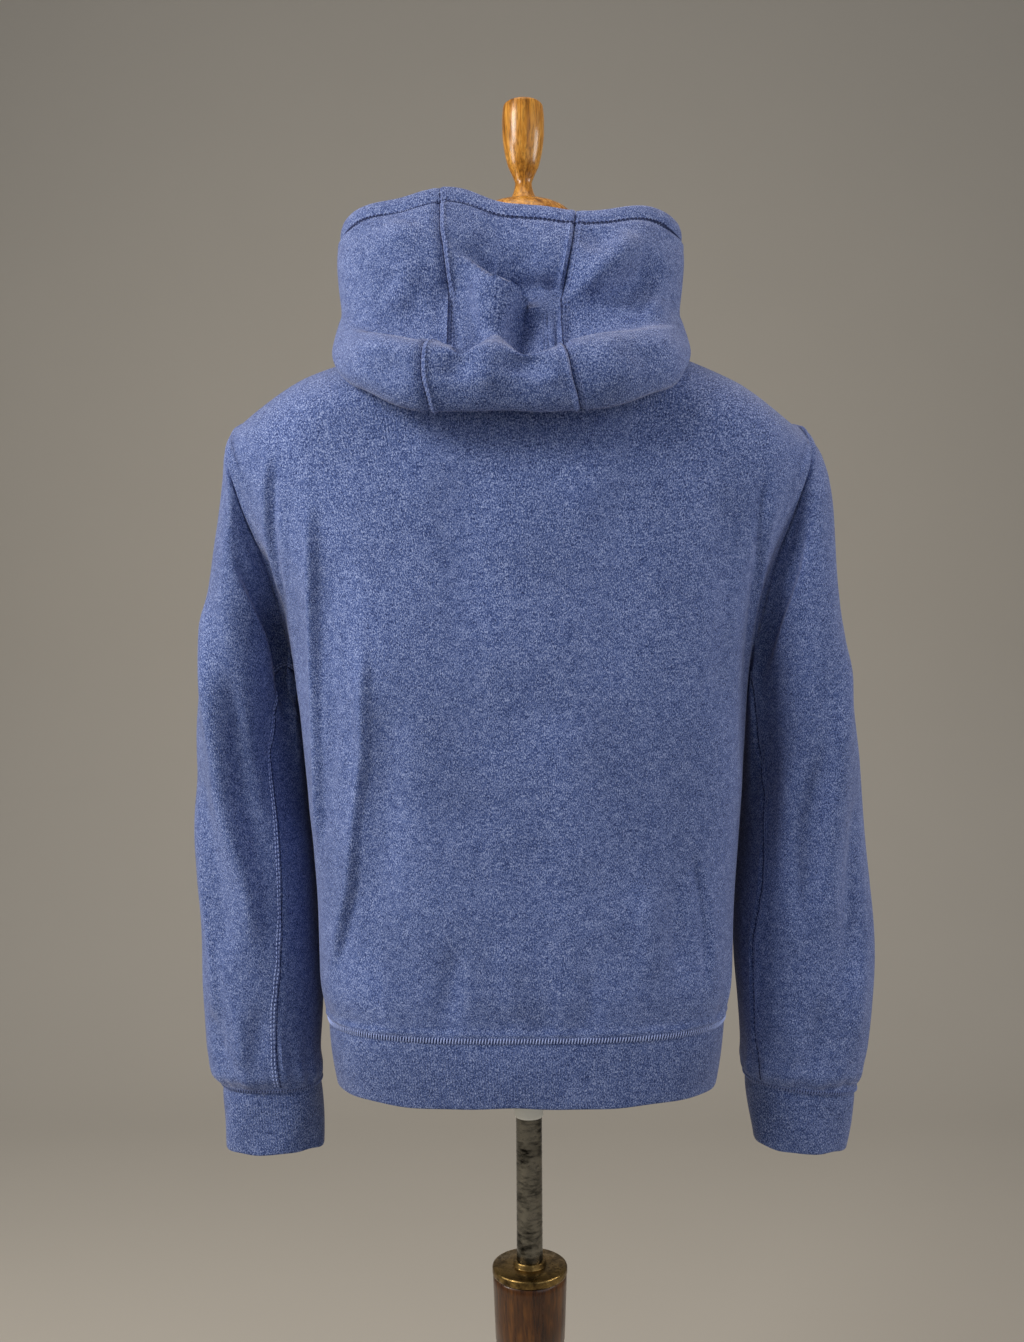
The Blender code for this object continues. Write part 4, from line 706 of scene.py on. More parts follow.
class Tree:
    """A material's nodes. One function adds a node, and returns it; the others say which node."""

    def __init__(self, name):
        self.material = bpy.data.materials.new(name)
        self.material.use_nodes = True
        self.tree = self.material.node_tree
        self.shader = self.tree.nodes["Principled BSDF"]

    def node(self, kind, settings=None, **inputs):
        """Adds a node; an input is a number, a colour, or a (node, output) pair to link."""
        made = self.tree.nodes.new("ShaderNode" + kind)
        for key, value in (settings or {}).items():
            setattr(made, key, value)
        self.fill(made, inputs)
        return made

    def fill(self, node, inputs):
        for key, value in inputs.items():
            socket = node.inputs[int(key[1:]) if key[1:].isdigit() else key.replace("_", " ")]
            if isinstance(value, tuple) and len(value) == 2 and isinstance(value[0], bpy.types.Node):
                self.tree.links.new(value[0].outputs[value[1]], socket)
            else:
                socket.default_value = value

    def place(self):
        return self.node("TexCoord"), "Object"

    def knit(self):
        """Distance round and along a piece of cloth."""
        return self.node("Attribute", {"attribute_name": "knit"}), "Vector"

    def scaled(self, source, *scale):
        return self.node("Mapping", Vector=source, Scale=scale), "Vector"

    def noise(self, source, width, detail, **inputs):
        """Uneven spots about this wide."""
        return self.node("TexNoise", Vector=source, Scale=1 / width, Detail=detail, **inputs), "Fac"

    def bands(self, source, way, distortion=0.0):
        """Even waves across a way, one to each unit of the source."""
        settings = {"wave_type": "BANDS", "bands_direction": way}
        return self.node("TexWave", settings, Vector=source, Scale=0.3142, Distortion=distortion), "Fac"

    def mixed(self, share, first, second):
        return self.node("Mix", {"data_type": "FLOAT"}, i0=share, i2=first, i3=second), 0

    def blended(self, share, first, second, way="MIX"):
        """A colour from two."""
        return self.node("Mix", {"data_type": "RGBA", "blend_type": way}, i0=share, i6=first, i7=second), 2

    def ramp(self, source, *stops):
        made = self.node("ValToRGB", Fac=source)
        while len(made.color_ramp.elements) < len(stops):
            made.color_ramp.elements.new(0.5)
        for element, (place, value) in zip(made.color_ramp.elements, stops):
            element.position = place
            element.color = rgba(value)
        return made, "Color"

    def bump(self, height, strength, distance):
        return self.node("Bump", Height=height, Strength=strength, Distance=distance), "Normal"

    def shade(self, **inputs):
        self.fill(self.shader, inputs)
        return self.material


def rgba(value):
    return (*value, 1.0)


def toned(value, times):
    """A colour made darker or paler."""
    return rgba(min(1.0, part * times) for part in value)


def grey(value):
    return (value, value, value)


def melange(name, ribbed):
    """Cotton and polyester fleece, dyed fibres spun with pale ones and knitted: flecked blue with
    a soft nap. The flecks are drawn about three times as coarse as real fibre, so that they show."""
    colours = bpy.context.scene.hoodie_colours
    tree = Tree(name)
    place, knit = tree.place(), tree.knit()
    width, wale = sizes().fleck, sizes().wale
    fine = tree.noise(place, width, 2.0, Roughness=0.62)
    strand = tree.noise(tree.scaled(knit, 1.15 / width, 0.45 / width, 1.0), 1.0, 2.0, Roughness=0.6)
    clumps = tree.noise(place, 0.0065, 2.0, Roughness=0.55)
    patches = tree.noise(place, 0.085, 1.0)
    both = tree.mixed(0.48, fine, strand)
    flecked = tree.ramp(tree.mixed(0.11, both, clumps), (0.40, colours.blue_deep), (0.50, colours.blue),
                        (0.605, colours.blue_pale))
    # Painted shade: the folded knit of the hem band and cuffs is drawn darker than the fleece, because the light from
    # above reaches these low parts less. The large patches are random tone.
    shade = 0.86 if ribbed else 1.0
    patchy_and_rib_shade = tree.ramp(patches, (0.30, grey(0.90 * shade)), (0.70, grey(1.06 * shade)))
    tinted = tree.blended(1.0, flecked, patchy_and_rib_shade, "MULTIPLY")
    wales = tree.bands(tree.scaled(knit, 1 / (wale * (1.5 if ribbed else 1.0)), 0.0, 0.0), "X")
    height = tree.mixed(0.35 if ribbed else 0.20, both, wales)
    return tree.shade(Base_Color=tinted, Normal=tree.bump(height, 0.55, 0.0011), Roughness=0.93, Sheen_Weight=0.50,
                      Sheen_Roughness=0.42, Sheen_Tint=rgba(linear("#B4B2B6")), Specular_IOR_Level=0.18)


def thread(name, value):
    """Spun polyester thread: twisted, with a dull gloss along it."""
    tree = Tree(name)
    ply = tree.noise(tree.place(), 0.0011, 1.0)
    tone = tree.blended(ply, toned(value, 0.72), toned(value, 1.25))
    return tree.shade(Base_Color=tone, Normal=tree.bump(ply, 0.4, 0.0003), Roughness=0.70, Specular_IOR_Level=0.2)


def varnished_wood(name, pale, middle, dark, grain, gloss):
    """Turned wood under stained varnish: streaks run along the turning's axis, and the coat gives
    sharp highlights over a duller ground. Grain width is in metres."""
    tree = Tree(name)
    place = tree.place()
    along = tree.scaled(place, 1 / grain, 1 / grain, 0.10 / grain)
    streak = tree.noise(along, 1.0, 5.0, Roughness=0.62, Distortion=0.5)
    cloud = tree.noise(place, 0.045, 2.0)
    pore = tree.noise(tree.scaled(place, 1 / 0.0012, 1 / 0.0012, 1 / 0.014), 1.0, 2.0)
    share = tree.mixed(0.30, streak, cloud)
    tone = tree.ramp(share, (0.34, dark), (0.50, middle), (0.66, pale))
    dots = tree.ramp(pore, (0.38, grey(0.45)), (0.50, grey(1.0)))
    rough = tree.ramp(streak, (0.30, grey(gloss)), (0.75, grey(gloss + 0.22)))
    return tree.shade(Base_Color=tree.blended(0.8, tone, dots, "MULTIPLY"), Roughness=rough,
                      Normal=tree.bump(share, 0.25, 0.0006), Coat_Weight=0.30, Coat_Roughness=0.16, Coat_IOR=1.50,
                      Specular_IOR_Level=0.30)


def scratched_metal(name, pale, dark, scratch, rough_low, rough_high, ringed=False):
    """Plated or bare metal, rubbed by a sliding fit: bright where polished, dark streaks and rings
    where it is scratched and dulled. On the chrome pole the low tone and dark streaks are also
    painted reflection of the dark surroundings. Scratch is the width of the marks in metres."""
    tree = Tree(name)
    place = tree.place()
    around = (0.35 if ringed else 1.0) / scratch
    rings = tree.noise(tree.scaled(place, around, around, 1.0 / scratch), 1.0, 4.0, Roughness=0.65)
    stain = tree.noise(place, 0.022, 3.0)
    tone = tree.ramp(tree.mixed(0.45, rings, stain), (0.36, dark), (0.54, pale))
    rough = tree.ramp(rings, (0.35, grey(rough_high)), (0.60, grey(rough_low)))
    return tree.shade(Base_Color=tone, Roughness=rough, Normal=tree.bump(rings, 0.35, 0.0004), Metallic=1.0)


def moulded_plastic(name, value):
    """Polypropylene from a smooth mould: a soft even gloss with a faint orange-peel skin."""
    tree = Tree(name)
    skin = tree.noise(tree.place(), 0.003, 2.0)
    tone = tree.blended(skin, toned(value, 0.93), rgba(value))
    return tree.shade(Base_Color=tone, Normal=tree.bump(skin, 0.12, 0.0004), Roughness=0.36)


def woven_cloth(name, value, pitch, flat):
    """Plain woven or jersey cloth: fine crossing yarns and a dry, matt face. Pitch is the spacing of
    its yarns in metres; a flat cloth has them along its knit, another one round a solid."""
    tree = Tree(name)
    source = tree.knit() if flat else tree.place()
    yarns = tree.scaled(source, 1 / pitch, 1 / pitch, 1 / pitch)
    weave = tree.mixed(0.5, *(tree.bands(yarns, way, 0.3) for way in ("X", "Y" if flat else "Z")))
    slub = tree.noise(source, 0.006, 3.0)
    tone = tree.blended(slub, toned(value, 0.80), toned(value, 1.10))
    return tree.shade(Base_Color=tone, Normal=tree.bump(weave, 0.4, 0.0004), Roughness=0.90, Sheen_Weight=0.1)


def painted(name, value):
    """Matt emulsion over plaster or board: even, without gloss."""
    tree = Tree(name)
    roller = tree.noise(tree.place(), 1 / 2.2, 3.0)
    return tree.shade(Base_Color=tree.blended(roller, toned(value, 0.96), rgba(value)), Roughness=0.95)


def look(name):
    """The material of this name, made the first time that it is asked for."""
    found = bpy.data.materials.get(name)
    if found:
        return found
    c = bpy.context.scene.hoodie_colours
    maker, *details = {
        "brushed_melange_fleece": (melange, False),
        "folded_melange_knit": (melange, True),
        "spun_polyester_thread_pale": (thread, c.thread_pale),
        "spun_polyester_thread_middle": (thread, c.thread_mid),
        "spun_polyester_thread_deep": (thread, c.thread_deep),
        "amber_varnished_beech": (varnished_wood, linear("#D9A046"), c.amber, linear("#6E4312"), 0.0055, 0.16),
        "brown_varnished_beech": (varnished_wood, linear("#6B4217"), c.brown, linear("#281103"), 0.0060, 0.22),
        # The chrome's low tone and dark streaks are partly painted reflection of the dark surroundings that the pole
        # mirrors, and partly real scratches.
        "scratched_chrome_plate": (scratched_metal, linear("#76736A"), linear("#1A1916"), 0.0040, 0.14, 0.42, True),
        "dulled_steel_plate": (scratched_metal, linear("#8F7647"), linear("#3E301C"), 0.0060, 0.22, 0.50),
        "moulded_white_polypropylene": (moulded_plastic, linear("#E4E5DE")),
        "cotton_jersey_cover": (woven_cloth, c.cover, 0.0016, False),
        "woven_polyester_tape": (woven_cloth, linear("#39466F"), 0.0012, True),
        "nickel_plated_brass": (scratched_metal, linear("#CFCBC1"), linear("#8E8A80"), 0.0030, 0.18, 0.38),
        "matt_painted_board": (painted, c.floor),
    }[name]
    return maker(name, *details)


# ---- garment: grids shared by its pieces ---------------------------------------------------------

GRIDS = {}


# Where the body's columns crowd, and the rows between which they do.
FANS = (NECK_RF - 2, TIP_RF, TIP_RF + 10, TIP_RB - 6, TIP_RB, TIP_LB, TIP_LB + 6, TIP_LF - 10, TIP_LF, NECK_LF)
FAN_START, FAN_END, FAN_HALF = (88, 100), (150, 159), 7
EASE_PASSES, EASE_SHARE = 60, 0.8


def armhole_columns(side):
    """Columns round an armhole: shoulder tip, down the back, underarm, up the front."""
    if side > 0:
        return list(range(TIP_LB, TIP_LF + 1))
    return list(range(TIP_RB, TIP_RF - 1, -1))


def neck_columns():
    """Columns round the neck, from the right edge of the zip by the back to its left edge."""
    return list(range(0, NECK_RF)) + list(range(NECK_RB, NECK_LB + 1)) + list(range(NECK_LF + 1, ZIP_L + 1))


def ease_fans(points):
    """Smooths the cloth where its columns crowd below the shoulder tips and the front neck corners."""
    row, column = np.mgrid[0:points.shape[0], 0:points.shape[1]]
    weight = np.zeros(row.shape)
    for middle in FANS:
        weight = np.maximum(weight, np.clip(1.6 - np.abs(column - middle) / FAN_HALF, 0, 1))
    weight *= fade(row, *FAN_START) * (1 - fade(row, *FAN_END))
    for _ in range(EASE_PASSES):
        mean = points.copy()
        mean[1:-1, 1:-1] = (points[:-2, 1:-1] + points[2:, 1:-1] + points[1:-1, :-2] + points[1:-1, 2:]) / 4
        points += EASE_SHARE * weight[..., None] * (mean - points)


def bearing(points):
    """Direction of each point from the body's axis, round its oval plan."""
    return np.arctan2(points[..., 0] / PLAN_ACROSS, points[..., 1] / PLAN_DEEP)


def body_grid():
    """Outer points and normals of the body with its creases, [row][column], from hem seam up."""
    if "body" in GRIDS:
        return GRIDS["body"]
    plain = np.stack([body_column(n, *column) for n, column in enumerate(body_columns())], axis=1)
    ease_fans(plain)
    normals = grid_normals(plain, False, -1)
    run, rest = edge_run(plain)
    # Creases die out at the seams, at the body's sides and beside the zip.
    calm = fade(run, 0.0, 0.03) * fade(rest, 0.003, 0.018)
    behind, before = (fade(way * normals[..., 1], 0.05, 0.45) for way in (1, -1))
    zip_calm = np.where(plain[..., 1] < 0, fade(np.abs(plain[..., 0]), 0.012, 0.045), 1)
    lift = crease_lift(plain, BODY_CREASES)[0] * behind
    lift = lift + FRONT_SHARE * crease_lift(plain, BODY_CREASES, mirrored=True)[0] * before
    lift = (lift + waver(plain, size=0.16, amount=0.0022, seed=3)) * calm * zip_calm * sizes().fold
    # Short gathers above the hem band, and the ditches of the side seams.
    around = bearing(plain)
    gather = np.sin(around * 23 + 2 * np.sin(around * 5)) * 0.0012 + np.sin(around * 41 + 1.3) * 0.0006
    lift = lift + gather * np.exp(-run / 0.030) * fade(run, 0.0, 0.010) * zip_calm
    for column in (SIDE_L, SIDE_R):
        ditch = relief(plain, plain[:, column], width=0.0016, depth=0.0016, shoulder=0.0011)
        lift = lift + ditch * fade(rest, 0.004, 0.02)
    near_edge = fade(np.minimum(run, rest), 0.0005, 0.004)
    for path in (plain[-1][armhole_columns(1)], plain[-1][armhole_columns(-1)], plain[0]):
        lift = lift + relief(plain, path, width=0.0022, depth=0.0, shoulder=0.0014) * near_edge
    points = plain + normals * lift[..., None]
    GRIDS["body"] = points, grid_normals(points, False, -1)
    return GRIDS["body"]


def hem_grid():
    """Outer points and normals of the hem band, from its lower edge to the hem seam."""
    if "hem" in GRIDS:
        return GRIDS["hem"]
    heights = np.linspace(HEM_BOTTOM, HEM_SEAM, 19)
    columns = []
    for number, (low, _, _) in enumerate(body_columns()):
        angles = zip_angles(heights, 1 if number else -1) if number in (0, ZIP_L) else np.full(len(heights), low)
        columns.append(body_point(angles, heights))
    plain = np.stack(columns, axis=1)
    normals = grid_normals(plain, False, -1)
    around = bearing(plain)
    share = (plain[..., 2] - HEM_BOTTOM) / (HEM_SEAM - HEM_BOTTOM)
    # The folded knit is plump between its edges, and wavy toward the lower one.
    plump = 0.0016 * np.sin(np.clip(share, 0, 1) * math.pi)
    wave = np.sin(around * 7 + 1.0) * 0.0011 + np.sin(around * 13 + 0.4) * 0.0005
    lift = (plump + wave * (1 - share) * fade(share, 0.0, 1.0) * 2) * fade(1 - share, 0.0, 0.15)
    points = plain + normals * lift[..., None]
    points[..., 2] += (np.sin(around * 8 + 0.7) * 0.0007 + np.sin(around * 19) * 0.0003) * (1 - share) ** 2
    # The seam pulls the band in under the body's edge.
    drawn = np.exp(-(1 - share) * (HEM_SEAM - HEM_BOTTOM) / 0.004) * fade(1 - share, 0.0, 0.03)
    points -= normals * (0.0010 * drawn)[..., None]
    GRIDS["hem"] = points, grid_normals(points, False, -1)
    return GRIDS["hem"]


def even_angles(count):
    """Angles that cut a sleeve's section into equal lengths, starting at its outer side."""
    fine = np.linspace(0, 2 * math.pi, 1441)
    path = [half * power(way, SLEEVE_SQUARENESS) for half, way in ((0.05, np.cos(fine)), (0.085, np.sin(fine)))]
    run = run_along(np.stack(path, axis=-1))
    return np.interp(np.linspace(0, run[-1], count + 1), run, fine)[:-1]


def sleeve_section(side, angle, height):
    """Point of a hanging sleeve: angle 0 is its outer side, 90 degrees its back."""
    table = SLEEVES[side]
    outer, inner, back, front = (smooth(table["height"], table[c], height) for c in ("outer", "inner", "back", "front"))
    across = halfway(outer, inner, power(np.cos(angle), SLEEVE_SQUARENESS))
    depth = halfway(back, front, power(np.sin(angle), SLEEVE_SQUARENESS))
    run = fade(height, 0.93, 1.10) * (1 - fade(height, 1.17, 1.26))
    depth = depth - HOLLOW_DEPTH * run * bell(angle - HOLLOW_ANGLE, HOLLOW_WIDTH)
    return np.stack([side * across, depth, height + 0 * across], axis=-1)


def sleeve_grid(side):
    """Outer points, normals and angles of a sleeve with its creases, from the armhole down."""
    if ("sleeve", side) in GRIDS:
        return GRIDS["sleeve", side]
    start = body_grid()[0][-1][armhole_columns(side)][:-1]
    angles = even_angles(len(start))
    bottom = halfway(CUFFS[side]["seam_out"], CUFFS[side]["seam_in"], np.cos(angles))
    first = sleeve_section(side, angles, start[:, 2])
    rows = []
    for share in crowded(SLEEVE_ROWS):
        height = start[:, 2] + (bottom - start[:, 2]) * share
        rows.append(sleeve_section(side, angles, height) + (start - first) * (1 - fade(share, 0.0, SETTLE)))
    plain = np.stack(rows)
    normals = grid_normals(plain, True, -side)
    run, rest = edge_run(plain)
    # The back's creases and the front's meet at the sleeve's sides.
    calm = fade(run, 0.010, 0.05) * fade(rest, 0.0, 0.02)
    behind = fade(normals[..., 1], -0.2, 0.4)
    before = fade(-normals[..., 1], -0.1, 0.4)
    lift = crease_lift(plain, SLEEVE_CREASES[side])[0] * behind
    lift = lift + FRONT_SHARE * crease_lift(plain, SLEEVE_CREASES[-side], mirrored=True)[0] * before
    lift = (lift + waver(plain, size=0.12, amount=0.0022, seed=11 + side)) * calm * sizes().fold
    # The wide sleeve is gathered into the narrow cuff.
    gather = np.sin(angles * 11 + 2 * np.sin(angles * 3)) * 0.0017 + np.sin(angles * 19 + side) * 0.0009
    lift = lift + gather * np.exp(-rest / 0.026) * fade(rest, 0.0, 0.010)
    lift = lift + 0.0022 * bell(rest - 0.013, 0.010)
    seam = on_rows(plain, sleeve_seam_columns(plain, side))
    seam_ends = fade(np.minimum(run, rest), 0.004, 0.02)
    lift = lift + relief(plain, seam, width=0.0016, depth=0.0017, shoulder=0.0011) * seam_ends
    lift = lift + relief(plain, plain[0], width=0.0022, depth=0.0, shoulder=0.0012) * fade(run, 0.0005, 0.004)
    points = plain + normals * lift[..., None]
    GRIDS["sleeve", side] = points, grid_normals(points, True, -side), angles
    return GRIDS["sleeve", side]


def sleeve_seam_columns(grid, side):
    """Column of the sleeve's own seam on each row: it leaves the underarm and hangs behind it."""
    columns = grid.shape[1]
    angle = smooth(*SLEEVE_SEAM[side], grid[:, int(0.34 * columns), 2])
    return np.interp(np.radians(angle), even_angles(columns), np.arange(columns))


def on_rows(grid, places, closed=True):
    """The grid's point at this column place on each row, or at several places on each."""
    columns = grid.shape[1]
    low = np.floor(places).astype(int)
    part = (places - low)[..., None]
    first, second = (c % columns if closed else np.clip(c, 0, columns - 1) for c in (low, low + 1))
    rows = np.arange(len(grid)).reshape([-1] + [1] * (places.ndim - 1))
    return grid[rows, first] * (1 - part) + grid[rows, second] * part


def beside(grid, normals, places, offset, closed=False):
    """Line on the cloth at this distance along the rows from another, with its normals."""
    near = places[:, None] + np.arange(-BESIDE_STEPS, BESIDE_STEPS + 1) * 0.5
    points, facing = (on_rows(g, near, closed) for g in (grid, normals))
    run = run_across(points)
    run -= run[:, BESIDE_STEPS:BESIDE_STEPS + 1]
    made = [np.array([read_line(offset, r, line) for r, line in zip(run, rows)]) for rows in (points, facing)]
    return made[0], unit(made[1])


def cuff_grid(side):
    """Outer points and normals of a cuff, from the cuff seam down to its edge."""
    top, _, angles = sleeve_grid(side)
    cuff = CUFFS[side]
    height = halfway(cuff["edge_out"], cuff["edge_in"], np.cos(angles))
    across = halfway(cuff["outer"], cuff["inner"], power(np.cos(angles), SLEEVE_SQUARENESS))
    depth = halfway(cuff["back"], cuff["front"], power(np.sin(angles), SLEEVE_SQUARENESS))
    # The edge waves up and down a little, and the ribs draw the cuff in below its seam.
    height = height + np.sin(angles * 3 + side) * 0.0011 + np.sin(angles * 8) * 0.0004
    edge = np.stack([side * across, depth, height], axis=-1)
    share = np.linspace(0, 1, 21)[:, None]
    points = top[-1] * (1 - share[..., None]) + edge * share[..., None]
    out = unit((points - points.mean(axis=1, keepdims=True)) * (1, 1, 0))
    swell = 0.0004 * np.sin(share * math.pi) - 0.0022 * np.exp(-share / 0.08) * fade(share, 0.0, 0.05)
    ripple = np.sin(angles * 5 + side * 2 + 3 * share) * 0.0011 * np.sin(share * 2.2)
    points = points + out * (swell + ripple)[..., None]
    return points, grid_normals(points, True, -side)


def hood_ring(ring, side, count_centre, count_side):
    """One ring of one side of the hood, from its centre back column to the zip."""
    table = {k: v[ring] for k, v in HOOD_RINGS.items()}
    last = len(HOOD_RINGS["back"]) - 1
    fine = np.linspace(0, math.pi / 2, 400)
    widest = table["widest"]
    back = np.stack([table["side"] * power(np.sin(fine), HOOD_BACK_SQUARE),
                     widest + (table["back"] - widest) * power(np.cos(fine), HOOD_BACK_SQUARE)], axis=-1)
    front = np.stack([table["side"] * power(np.cos(fine), HOOD_FRONT_SQUARE),
                      widest - (table["front"] + widest) * power(np.sin(fine), HOOD_FRONT_SQUARE)], axis=-1)
    path = np.concatenate([back, front[1:]])
    path = path[: int(np.argmax((path[:, 0] < ZIP_HALF_GAP) & (path[:, 1] < 0)))]
    run = run_along(path)
    wanted = np.concatenate([CENTRE_HALF * np.arange(count_centre) / count_centre,
                             CENTRE_HALF + (run[-1] - CENTRE_HALF) * np.linspace(0, 1, count_side + 1)])
    share = wanted / run[-1]
    across = np.interp(wanted, run, path[:, 0])
    across[-1] = ZIP_HALF_GAP
    quarter = run[len(back) - 1] / run[-1]
    stations = (0.0, HOOD_FLAT * quarter, HOOD_CORNER * quarter, quarter, 1.0)
    heights = [table[k] for k in ("z_back", "z_back", "z_corner", "z_side", "z_front")]
    rise = smooth(RIM_WAVE["across"], RIM_WAVE["rise"], side * across) * (1 - fade(share, quarter, 0.9))
    height = smooth(stations, heights, share) + rise * fade(ring, last - 4, last)
    lean = HOOD_SHIFT * min(1.0, (ring + 1) / 4) * (1 - fade(share, 0.55, 0.95))
    depth = np.interp(wanted, run, path[:, 1])
    height = np.maximum(height, shoulder_surface(side * across + lean, depth) + HOOD_CLEAR)
    return np.stack([side * across + lean, depth, height], axis=-1)


def cut_in_two(points):
    """The line with each of its sides cut into two equal parts."""
    made = np.empty((2 * len(points) - 1, 3))
    made[::2] = points
    made[1::2] = points[:-1] + (points[1:] - points[:-1]) / 2
    return made


def settle_hood(plain, ring, seams):
    """Moves the hood's seams, rim and lobe edge, and sinks the valley behind the lobe."""
    behind = fade(plain[..., 1], 0.02, 0.08)
    for column, side in zip(seams, (-1, 1)):
        away = plain[..., 0] - plain[:, column, 0][:, None]
        plain[..., 0] += smooth(SEAM_SHIFT["ring"], SEAM_SHIFT[side], ring) * bell(away, 0.030) * behind
    across = plain[..., 0]
    rim, edge, inward, down = (smooth(HOOD_SAG["across"], HOOD_SAG[k], across) for k in ("rim", "edge", "in", "down"))
    lobe_edge, valley = bell(ring - 8.0, 0.9) * (ring < 9.9), bell(ring - 9.15, 0.75)
    plain[..., 2] -= behind * (rim * fade(ring, 9.5, 12.0) + edge * lobe_edge + down * valley)
    plain[..., 1] -= behind * inward * bell(ring - 9.6, 0.9)
    # The layer of the fold that lies against the back gives way behind the deepest dip.
    plain[..., 1] -= behind * 0.016 * bell(across - 0.004, 0.024) * bell(ring - 2.7, 1.2)


def clear_of_layer(points, ring):
    """Keeps the valley in front of the layer of the fold that lies against the back."""
    layer, valley = ((ring > low) & (ring < high) for low, high in (LAYER_RINGS, VALLEY_RINGS))
    for column in range(points.shape[1]):
        line = points[layer, column][::-1]
        if line[0, 1] > 0.03:
            rows = points[valley, column]
            least = np.interp(rows[:, 2], line[:, 2], line[:, 1]) + LAYER_GAP
            short = np.where(rows[:, 2] < line[-1, 2], least - rows[:, 1], -1.0)
            eased = 0.5 * (short + np.sqrt(short**2 + LAYER_SOFT**2))
            points[valley, column, 1] += eased * (short > -LAYER_REACH)


def hood_grid():
    """Outer points and normals of the hood, from the neck seam to the rim, and its seams' columns."""
    if "hood" in GRIDS:
        return GRIDS["hood"]
    count_centre = 4 * NECK_FINE
    count_side = 2 * (2 * NECK_FINE + NECK_F)
    neck = cut_in_two(body_grid()[0][-1][neck_columns()])
    rings = [neck]
    for ring in range(len(HOOD_RINGS["back"])):
        left, right = (hood_ring(ring, side, count_centre, count_side) for side in (1, -1))
        rings.append(np.concatenate([right[::-1], left[1:]]))
    rings = np.stack(rings)
    tangent = np.gradient(rings, axis=0)
    rows = []
    for ring in range(len(rings) - 1):
        for k in range(HOOD_STEPS if ring < len(rings) - 2 else HOOD_STEPS + 1):
            t = k / HOOD_STEPS
            point = cubic(t, rings[ring], tangent[ring], rings[ring + 1], tangent[ring + 1])
            if ring or k:
                shoulder = shoulder_surface(point[:, 0], point[:, 1])
                over = np.maximum(point[:, 2], shoulder + HOOD_CLEAR * (ring > 0))
                point[:, 2] = np.where(shoulder > 0, over, point[:, 2])
            rows.append(point)
    plain = np.stack(rows)
    place = np.arange(len(plain)) / HOOD_STEPS - 1      # ring number of each row
    seams = count_side, count_side + 2 * count_centre
    settle_hood(plain, place[:, None], seams)
    run, rest = edge_run(plain)
    normals = grid_normals(plain, False, -1)
    # Creases of the valley and rim above, and of the lobe that hangs out of the fold.
    upper = fade(place, 7.6, 9.2)[:, None]
    lobe = (fade(place, 3.5, 5.0) * (1 - fade(place, 7.5, 9.0)))[:, None]
    behind = fade(plain[..., 1], 0.02, 0.08)
    before = fade(-plain[..., 1], -0.02, 0.06)
    calm = fade(rest, 0.006, 0.030)
    lift, slide = crease_lift(plain, HOOD_CREASES)
    lift, slide = lift * upper * behind * calm, slide * (upper * behind * calm)[..., None]
    lift = lift + crease_lift(plain, LOBE_CREASES)[0] * lobe * behind
    lift = lift + HOOD_FRONT_SHARE * crease_lift(plain, HOOD_CREASES, mirrored=True)[0] * upper * before * calm
    lift = (lift + waver(plain, size=0.07, amount=0.0016, seed=23) * fade(run, 0.01, 0.06) * calm) * sizes().fold
    # The turned edge: a ditch under its stitches and a soft puff over them.
    lift = lift - 0.0019 * bell(rest - RIM_FOLD, 0.0020) + 0.0014 * bell(rest - RIM_FOLD * 0.45, 0.006)
    lift = lift + 0.0009 * bell(rest - RIM_FOLD - 0.0055, 0.003)
    for column in seams:
        ditch = relief(plain, plain[:, column], width=0.0015, depth=0.0026, shoulder=0.0016)
        lift = lift + ditch * (0.3 + 0.7 * fade(rest, 0.012, 0.021))
    points = plain + normals * lift[..., None] + slide * sizes().fold
    clear_of_layer(points, place)
    GRIDS["hood"] = points, grid_normals(points, False, -1), seams
    return GRIDS["hood"]


# ---- sewing --------------------------------------------------------------------------------------

PALE, MIDDLING, DEEP = ("spun_polyester_thread_" + tone for tone in ("pale", "middle", "deep"))
SEAM_ROWS, HOOD_SEAM_ROWS = (0.0024, 0.0052), (0.0026, 0.0056)      # topstitching's distance from its seam
RIM_ROW = 0.0014
SUNK, CUFF_LIFT = 0.0004, 0.0003      # how far a seam's thread lies below its edge, or a cuff's over it
# Dark thread rows laid along the seam lines are painted shade: they draw the shadow of each seam's ditch as a line.
SHADE_LINE_STITCH, SHADE_LINE_PITCH, SHADE_LINE_WIDTH = 0.0060, 0.0056, 0.0011
HEM_COMB, CUFF_COMB, RIM_COMB = 0.0062, 0.0046, 0.0026      # length of the stitches across a seam
COMB_PITCH, RIM_PITCH = 0.0025, 0.0016
# A stitch from end to end: shares of its half length, its half width and its height.
SPINDLE = ((-1.0, 0.0, -0.25), (-0.72, 0.75, 0.25), (0.0, 1.0, 0.55), (0.72, 0.75, 0.25), (1.0, 0.0, -0.25))


def resampled(path, normals, pitch):
    """Points, tangents and normals at equal distances along a line on the cloth."""
    run = run_along(path)
    count = max(2, int(run[-1] / pitch))
    wanted = (np.arange(count) + 0.5) * run[-1] / count
    points = read_line(wanted, run, path)
    return points, unit(np.gradient(points, axis=0)), unit(read_line(wanted, run, normals))


def stitch_shapes(points, along, normal, half_length, half_width, height):
    """A spindle of thread for each point, lying on the cloth with its middle raised."""
    side = unit(np.cross(normal, along))
    around = [(math.cos(a), math.sin(a)) for a in (math.radians(d) for d in range(0, 360, 60))]
    vertices = []
    faces = []
    for p, a, s, n in zip(points, along, side, normal):
        base = len(vertices)
        for place, wide, lift in SPINDLE:
            middle = p + a * half_length * place + n * height * lift
            if wide:
                vertices += [middle + s * half_width * wide * c + n * half_width * wide * 0.8 * d for c, d in around]
            else:
                vertices.append(middle)
        for k in range(6):
            nxt = (k + 1) % 6
            faces.append((base, base + 1 + nxt, base + 1 + k))
            for low in (base + 1, base + 7):
                faces.append((low + k, low + nxt, low + 6 + nxt, low + 6 + k))
            faces.append((base + 19, base + 13 + k, base + 13 + nxt))
    return vertices, faces


